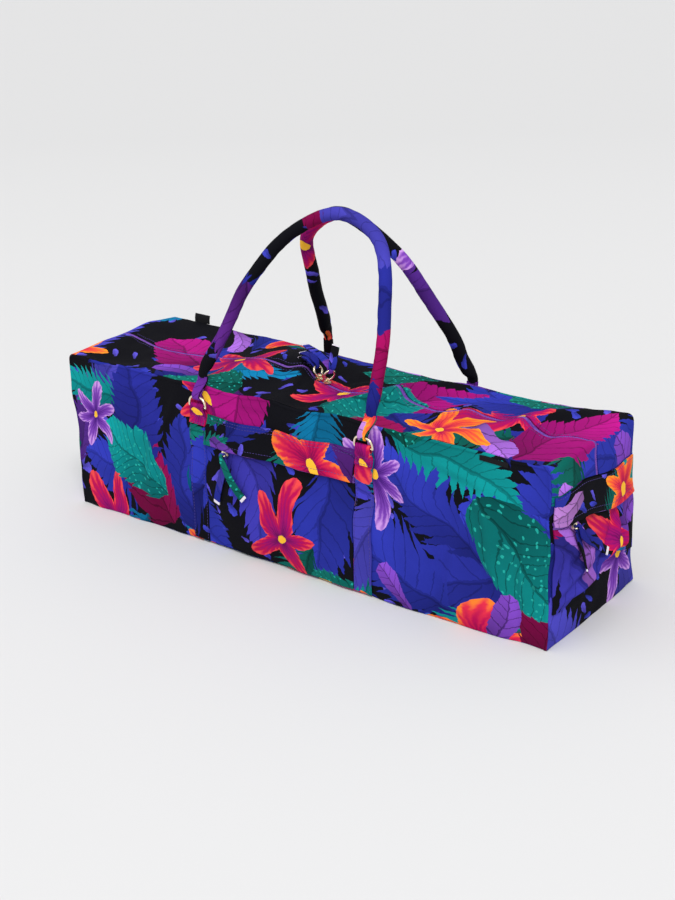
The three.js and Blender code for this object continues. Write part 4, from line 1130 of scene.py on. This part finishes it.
def slider(node, bow, place, along, out):
    """Slider: a tapering outline stacked in two plates, and a square-topped wire bow.

    It is drawn in its own frame, X along the zip and Z away from the cloth, and set in its place.
    """
    x = SLIDER_LONG / 2 * bent(np.cos(circle(48)), 0.6)
    half = np.interp(x, (-5, -2.5, 5), (SLIDER_WIDE / 3, SLIDER_WIDE / 2, SLIDER_WIDE / 2.6))
    levels = np.array((0.0, 0.3, 0.95, 1.2, 1.8, 2.05, 2.6, 3.0))[:, None]
    inset = np.array((0.88, 1.0, 0.98, 0.8, 0.8, 0.98, 1.0, 0.84))[:, None]
    plates = places(inset * x, inset * half * bent(np.sin(circle(48)), 0.6), levels).reshape(-1, 3)
    faces = tube(np.arange(len(plates)).reshape(8, 48))
    half, rise = bow
    turn = np.pi * (1 - np.linspace(0, 1, 40))
    height = SLIDER_HIGH - SLIDER_WIRE + rise * np.sqrt(np.maximum(0, np.sin(turn)))
    path = places(half * bent(np.cos(turn), 0.5), 0, height)
    arch, arch_faces, arch_flat = wired(path, (0, 1, 0), SLIDER_WIRE)
    faces += [[corner + len(plates) for corner in face] for face in arch_faces]
    points = place + np.concatenate((plates, arch)) @ np.stack((along, np.cross(out, along), out))
    flat = np.concatenate((plates[:, :2], arch_flat))
    build(f"{node}_cast", node, "metal", (pale_gold,), points, faces, flat)


def zip_height(x):
    """Place on the middle of the top zip."""
    y = zip_drift(x)
    return np.array((x, y, HEIGHT + top_rise(x, y)))


# Cloth pulls. Strips of the canvas folded lengthwise and knotted through a ring or bow, with two loose
# legs. Their cut ends are raw, so the pale inside of the cloth shows there.
# Unprinted cotton: off-white, fibrous and matte.
raw_cotton, tree, surface = finish("raw_cotton_edge")
fuzz = add(tree, "TexNoise", {0: add(tree, "TexCoord", out=3), 2: 1500.0, 3: 2.0})
pale = ramp(fuzz, "LINEAR", (0.3, "#cfc6d8"), (0.7, "#f3eef2"))
plug(tree, surface, {"Base Color": pale, "Roughness": 0.9})
PULL_WIDE, PULL_FOLD, PULL_SLACK, PULL_THICK, PULL_LEAVE, PULL_LIE = 10.5, 4.6, 0.7, 2.0, 16.0, 4.4
PULL_PROFILE = oblong(22, 5)


def pull(node, place, wire, leave, radius, ends, cut):
    """Folded strip: two legs from their ends along quadratic curves to a half turn round a wire."""
    turn = radius + PULL_SLACK + PULL_THICK / 2
    wire, leave = np.asarray(wire, float), np.asarray(leave, float)
    outward = np.cross(leave, wire)
    legs, sides = [], []
    t = np.linspace(0.08, 1, 26)[:, None]
    for face, (end, end_side) in zip((1, -1), ends):
        start = place + face * turn * outward
        bend = start + PULL_LEAVE * leave
        legs.append(start * (1 - t) ** 2 + 2 * bend * t * (1 - t) + end * t**2)
        sides.append(mix(wire, np.asarray(end_side, float), t))
    widths = mix(PULL_FOLD, PULL_WIDE, ease(4 * t))
    angle = np.linspace(0, np.pi, 14)[1:-1, None]
    fold = place + turn * (np.cos(angle) * outward - np.sin(angle) * leave)
    path = np.concatenate((legs[0][::-1], fold, legs[1]))
    side = np.concatenate((sides[0][::-1], np.broadcast_to(wire, fold.shape), sides[1]))
    wide = np.concatenate((widths[::-1], np.full((len(fold), 1), PULL_FOLD), widths))
    points, faces, flat = swept(path, side, wide, PULL_THICK, PULL_PROFILE)
    frayed = len(PULL_PROFILE)
    raw = [1] * frayed + [0] * (len(faces) - 2 - 2 * frayed) + [1] * (frayed + 2)
    size = (PULL_WIDE * 0.001, run_length(path)[-1] * 0.001)
    build(f"{node}_strip", node, "canvas", (printed_canvas, raw_cotton), points, faces, flat, cut, size,
          "hung", picks=raw)


# Name, slider's x, the way and the angle that its ring leans, its swing, cut of the strip, and the strip's
# two ends: x, y, height over the cloth, heading.
TOP_PULLS = (
    ("left", -20.0, -1, 0.88, 0.0, (2.57, 6.2), ((-63, 20, 0, 1.0), (-69, 31, 0, 1.0))),
    ("right", -4.0, 1, 1.35, 0.42, (2.87, 5.05), ((-83, 54, 2, 1.0), (-12, 29, 36, 1.6))),
)
for name, x, tip, tilt, swing, cut, ends in TOP_PULLS:
    along = unit((zip_height(x + 4) - zip_height(x - 4)) * (1, 0, 1))
    out = np.array((-along[2], 0, along[0]))
    place = zip_height(x) + SLIDER_CLEAR * out
    slider(f"top_slider_{name}", RING_BOW, place, along, out)
    across = np.array((np.sin(swing), np.cos(swing), 0))
    lean = along * tip * np.cos(tilt) + out * np.sin(tilt)
    lean = unit(lean - across * (lean @ across))
    hole = place + out * (SLIDER_HIGH + (RING_BOW[1] - SLIDER_WIRE) / 2)
    turn = circle(60)[:, None]
    ring = hole + PULL_RING_RADIUS * (lean * (1 + np.cos(turn)) + across * np.sin(turn))
    wire = wired(ring, np.cross(lean, across), PULL_RING_WIRE, closed=True)
    build(f"top_ring_{name}_wire", f"top_ring_{name}", "metal", (pale_gold,), *wire)
    spots = [
        (np.array((u, v, HEIGHT + top_rise(u, v) + PULL_LIE + up)), (np.cos(heading), np.sin(heading), 0))
        for u, v, up, heading in ends
    ]
    far = hole + 2 * PULL_RING_RADIUS * lean
    pull(f"top_pull_{name}", far, across, lean, PULL_RING_WIRE, spots, cut)

FRONT_PULL_X, FRONT_PULL_ENDS = -86.0, ((-48, 88), (-95, 73))
END_PULL_Y, END_PULL_ENDS = -64.0, ((-12, 92, 0, (0, 1, 0)), (-64, 90, 4, (-0.6, 0.8, 0)))
BOW_RISE = SLIDER_HIGH - SLIDER_WIRE + STRIP_BOW[1]
FRONT_SLIDER_Z = FLAP_BOTTOM - SLIDER_WIDE / 2 - SLIDER_DROP
END_SLIDER_Z = end_top(END_PULL_Y) + END_BAND_LOW - SLIDER_WIDE / 2 - SLIDER_DROP


def pocket_face(x, z):
    """How far the front pocket stands off at a sideways place and a height."""
    left, right = pocket_x(0, z), pocket_x(1, z)
    return pocket_out((x - left) / (right - left), z)


front_seat = pocket_face(FRONT_PULL_X, FRONT_SLIDER_Z - SLIDER_WIDE / 2) + SLIDER_CLEAR
end_seat = end_pocket_out(END_PULL_Y, END_SLIDER_Z - SLIDER_WIDE / 2) + SLIDER_CLEAR
front_spots = [beside_wall(-1, FRONT_PULL_X, FRONT_SLIDER_Z, front_seat + up) for up in (0, BOW_RISE)]
end_spots = [beyond_end(END_PULL_Y, END_SLIDER_Z, end_seat + up) for up in (0, BOW_RISE)]
front_ends = [(beside_wall(-1, x, z, pocket_face(x, z) + PULL_LIE), (1, 0, 0)) for x, z in FRONT_PULL_ENDS]
end_ends = [
    (beyond_end(y, z, end_pocket_out(y, z) + PULL_LIE + up), turned) for y, z, up, turned in END_PULL_ENDS
]
for name, (seat, bow_top), along, out, ends, cut in (
    ("front", front_spots, (1.0, 0.0, 0.0), (0.0, -1.0, 0.0), front_ends, (3.7, 5.08)),
    ("end", end_spots, (0.0, 1.0, 0.0), (1.0, 0.0, 0.0), end_ends, (2.55, 6.22)),
):
    slider(f"{name}_slider", STRIP_BOW, seat, along, out)
    pull(f"{name}_pull", bow_top, along, (0.0, 0.0, -1.0), SLIDER_WIRE, ends, cut)


# Labels. Two plain folded tabs of black woven tape caught in the top seams: one hangs at the front right,
# one stands at the back left.
FRONT_LABEL_X, FRONT_LABEL_LOW, FRONT_LABEL_TOP = 306.0, 210, 217.5
BACK_LABEL_X, BACK_LABEL_RISE, BACK_LABEL_LEAN = -309.0, 11.5, 3
FRONT_LABEL, BACK_LABEL = (37.0, 1.2), (28.0, 1.4)

# Woven polyester tape: fine cross ribs 0.5 mm apart, drawn at 1 mm, with a slight sheen. Its colour is
# painted shade: darker in the grooves between the ribs, lighter on their crests.
RIB = 0.001
label_tape, tree, surface = finish("black_woven_tape")
tape_axes = add(tree, "SeparateXYZ", (add(tree, "UVMap", uv_map="cloth"),)).node.outputs
ribs = reckon("SINE", reckon("MULTIPLY", tape_axes[1], 2 * np.pi / RIB))
# Painted shade: the rib height as a share, which darkens the colour in the grooves and lightens it on the
# crests.
rib_painted_shade = add(tree, "MapRange", {0: ribs, 1: -1.0})
plug(tree, surface, {
    "Base Color": ramp(rib_painted_shade, "LINEAR", (0, "#08080a"), (1, "#19191d")),
    "Normal": add(tree, "Bump", {0: 0.5, 1: 0.0002, 3: ribs}),
    "Roughness": 0.6,
    "Specular IOR Level": 0.12,
})
LABEL_PROFILE = oblong(22, 8)

z = np.linspace(FRONT_LABEL_LOW, FRONT_LABEL_TOP, 16)
path = beside_wall(-1, FRONT_LABEL_X, z, GAP + 0.6 + 0.5 * bell(z - FRONT_LABEL_LOW, 4))
tab = swept(path, (1, 0, 0), *FRONT_LABEL, LABEL_PROFILE)
build("label_front_tab", "label_front", "label", (label_tape,), *tab)

share = np.linspace(0, 1, 16)
y = HALF_DEPTH - 1 + BACK_LABEL_LEAN * share**2
path = places(BACK_LABEL_X, y, HEIGHT + GAP + BACK_LABEL_RISE * share)
tab = swept(path, (1, 0, 0), *BACK_LABEL, LABEL_PROFILE)
build("label_back_tab", "label_back", "label", (label_tape,), *tab)


# Studio. A wide pale floor without a horizon in view, a main light, fairly soft, high over the front right,
# a weak and very soft one on the front left, and a pale surround that is brighter above and in front.
# Matte paper sweep: pale neutral grey with a faint random mottle, painted a little darker away from the
# camera as painted shade where the light falls off.
paper, tree, surface = finish("pale_paper_sweep")
floor_place = add(tree, "TexCoord", out=3)
floor_axes = add(tree, "SeparateXYZ", (floor_place,)).node.outputs
# Painted shade: depth runs away from the camera, and the grey is painted darker along it as the light falls
# off; the mottle is a faint random tone.
depth = reckon("MULTIPLY_ADD", floor_axes[0], -0.62, floor_axes[1])
away = add(tree, "MapRange", {0: depth, 1: -1.5, 2: 4.0})
mottle = add(tree, "TexNoise", {0: floor_place, 2: 1.5, 3: 2.0})
uneven = reckon("MULTIPLY_ADD", mottle, 0.08, away)
grey = ramp(uneven, "LINEAR", (0, "#dddddd"), (1, "#d0d0d0"))
plug(tree, surface, {"Base Color": grey, "Roughness": 0.95, "Specular IOR Level": 0.1})
floor_mesh = bpy.data.meshes.new("floor")
floor_mesh.from_pydata([(-30, -30, 0), (30, -30, 0), (30, 30, 0), (-30, 30, 0)], [], [(0, 1, 2, 3)])
floor_mesh.materials.append(paper)
floor = bpy.data.objects.new("floor", floor_mesh)
floor.location = (0, 0, -0.0005)
bpy.context.collection.objects.link(floor)

for name, toward, spread, power in (
    ("key", (-0.35, -0.55, 0.85), 60, 0.15),
    ("crown", (0.45, -0.42, 0.85), 18, 1.38),
):
    lamp = bpy.data.lights.new(name, "SUN")
    lamp.angle = np.radians(spread)
    lamp.energy = power
    toward = unit(np.array(toward))
    stand(name, lamp, toward, 3 * toward)
world = bpy.data.worlds.new("studio")
world.use_nodes = True
tree = world.node_tree
facing = add(tree, "VectorMath", (add(tree, "TexCoord"), (-0.1, -0.6, 0.85)), operation="DOT_PRODUCT", out=1)
strength = add(tree, "MapRange", {0: facing, 1: -0.5, 2: 1.0, 3: 0.4, 4: 1.08})
plug(tree, tree.nodes["Background"].inputs, {0: linear("#fbfbfc"), 1: strength})
bpy.context.scene.world = world
bpy.context.scene.view_settings.view_transform = "Standard"
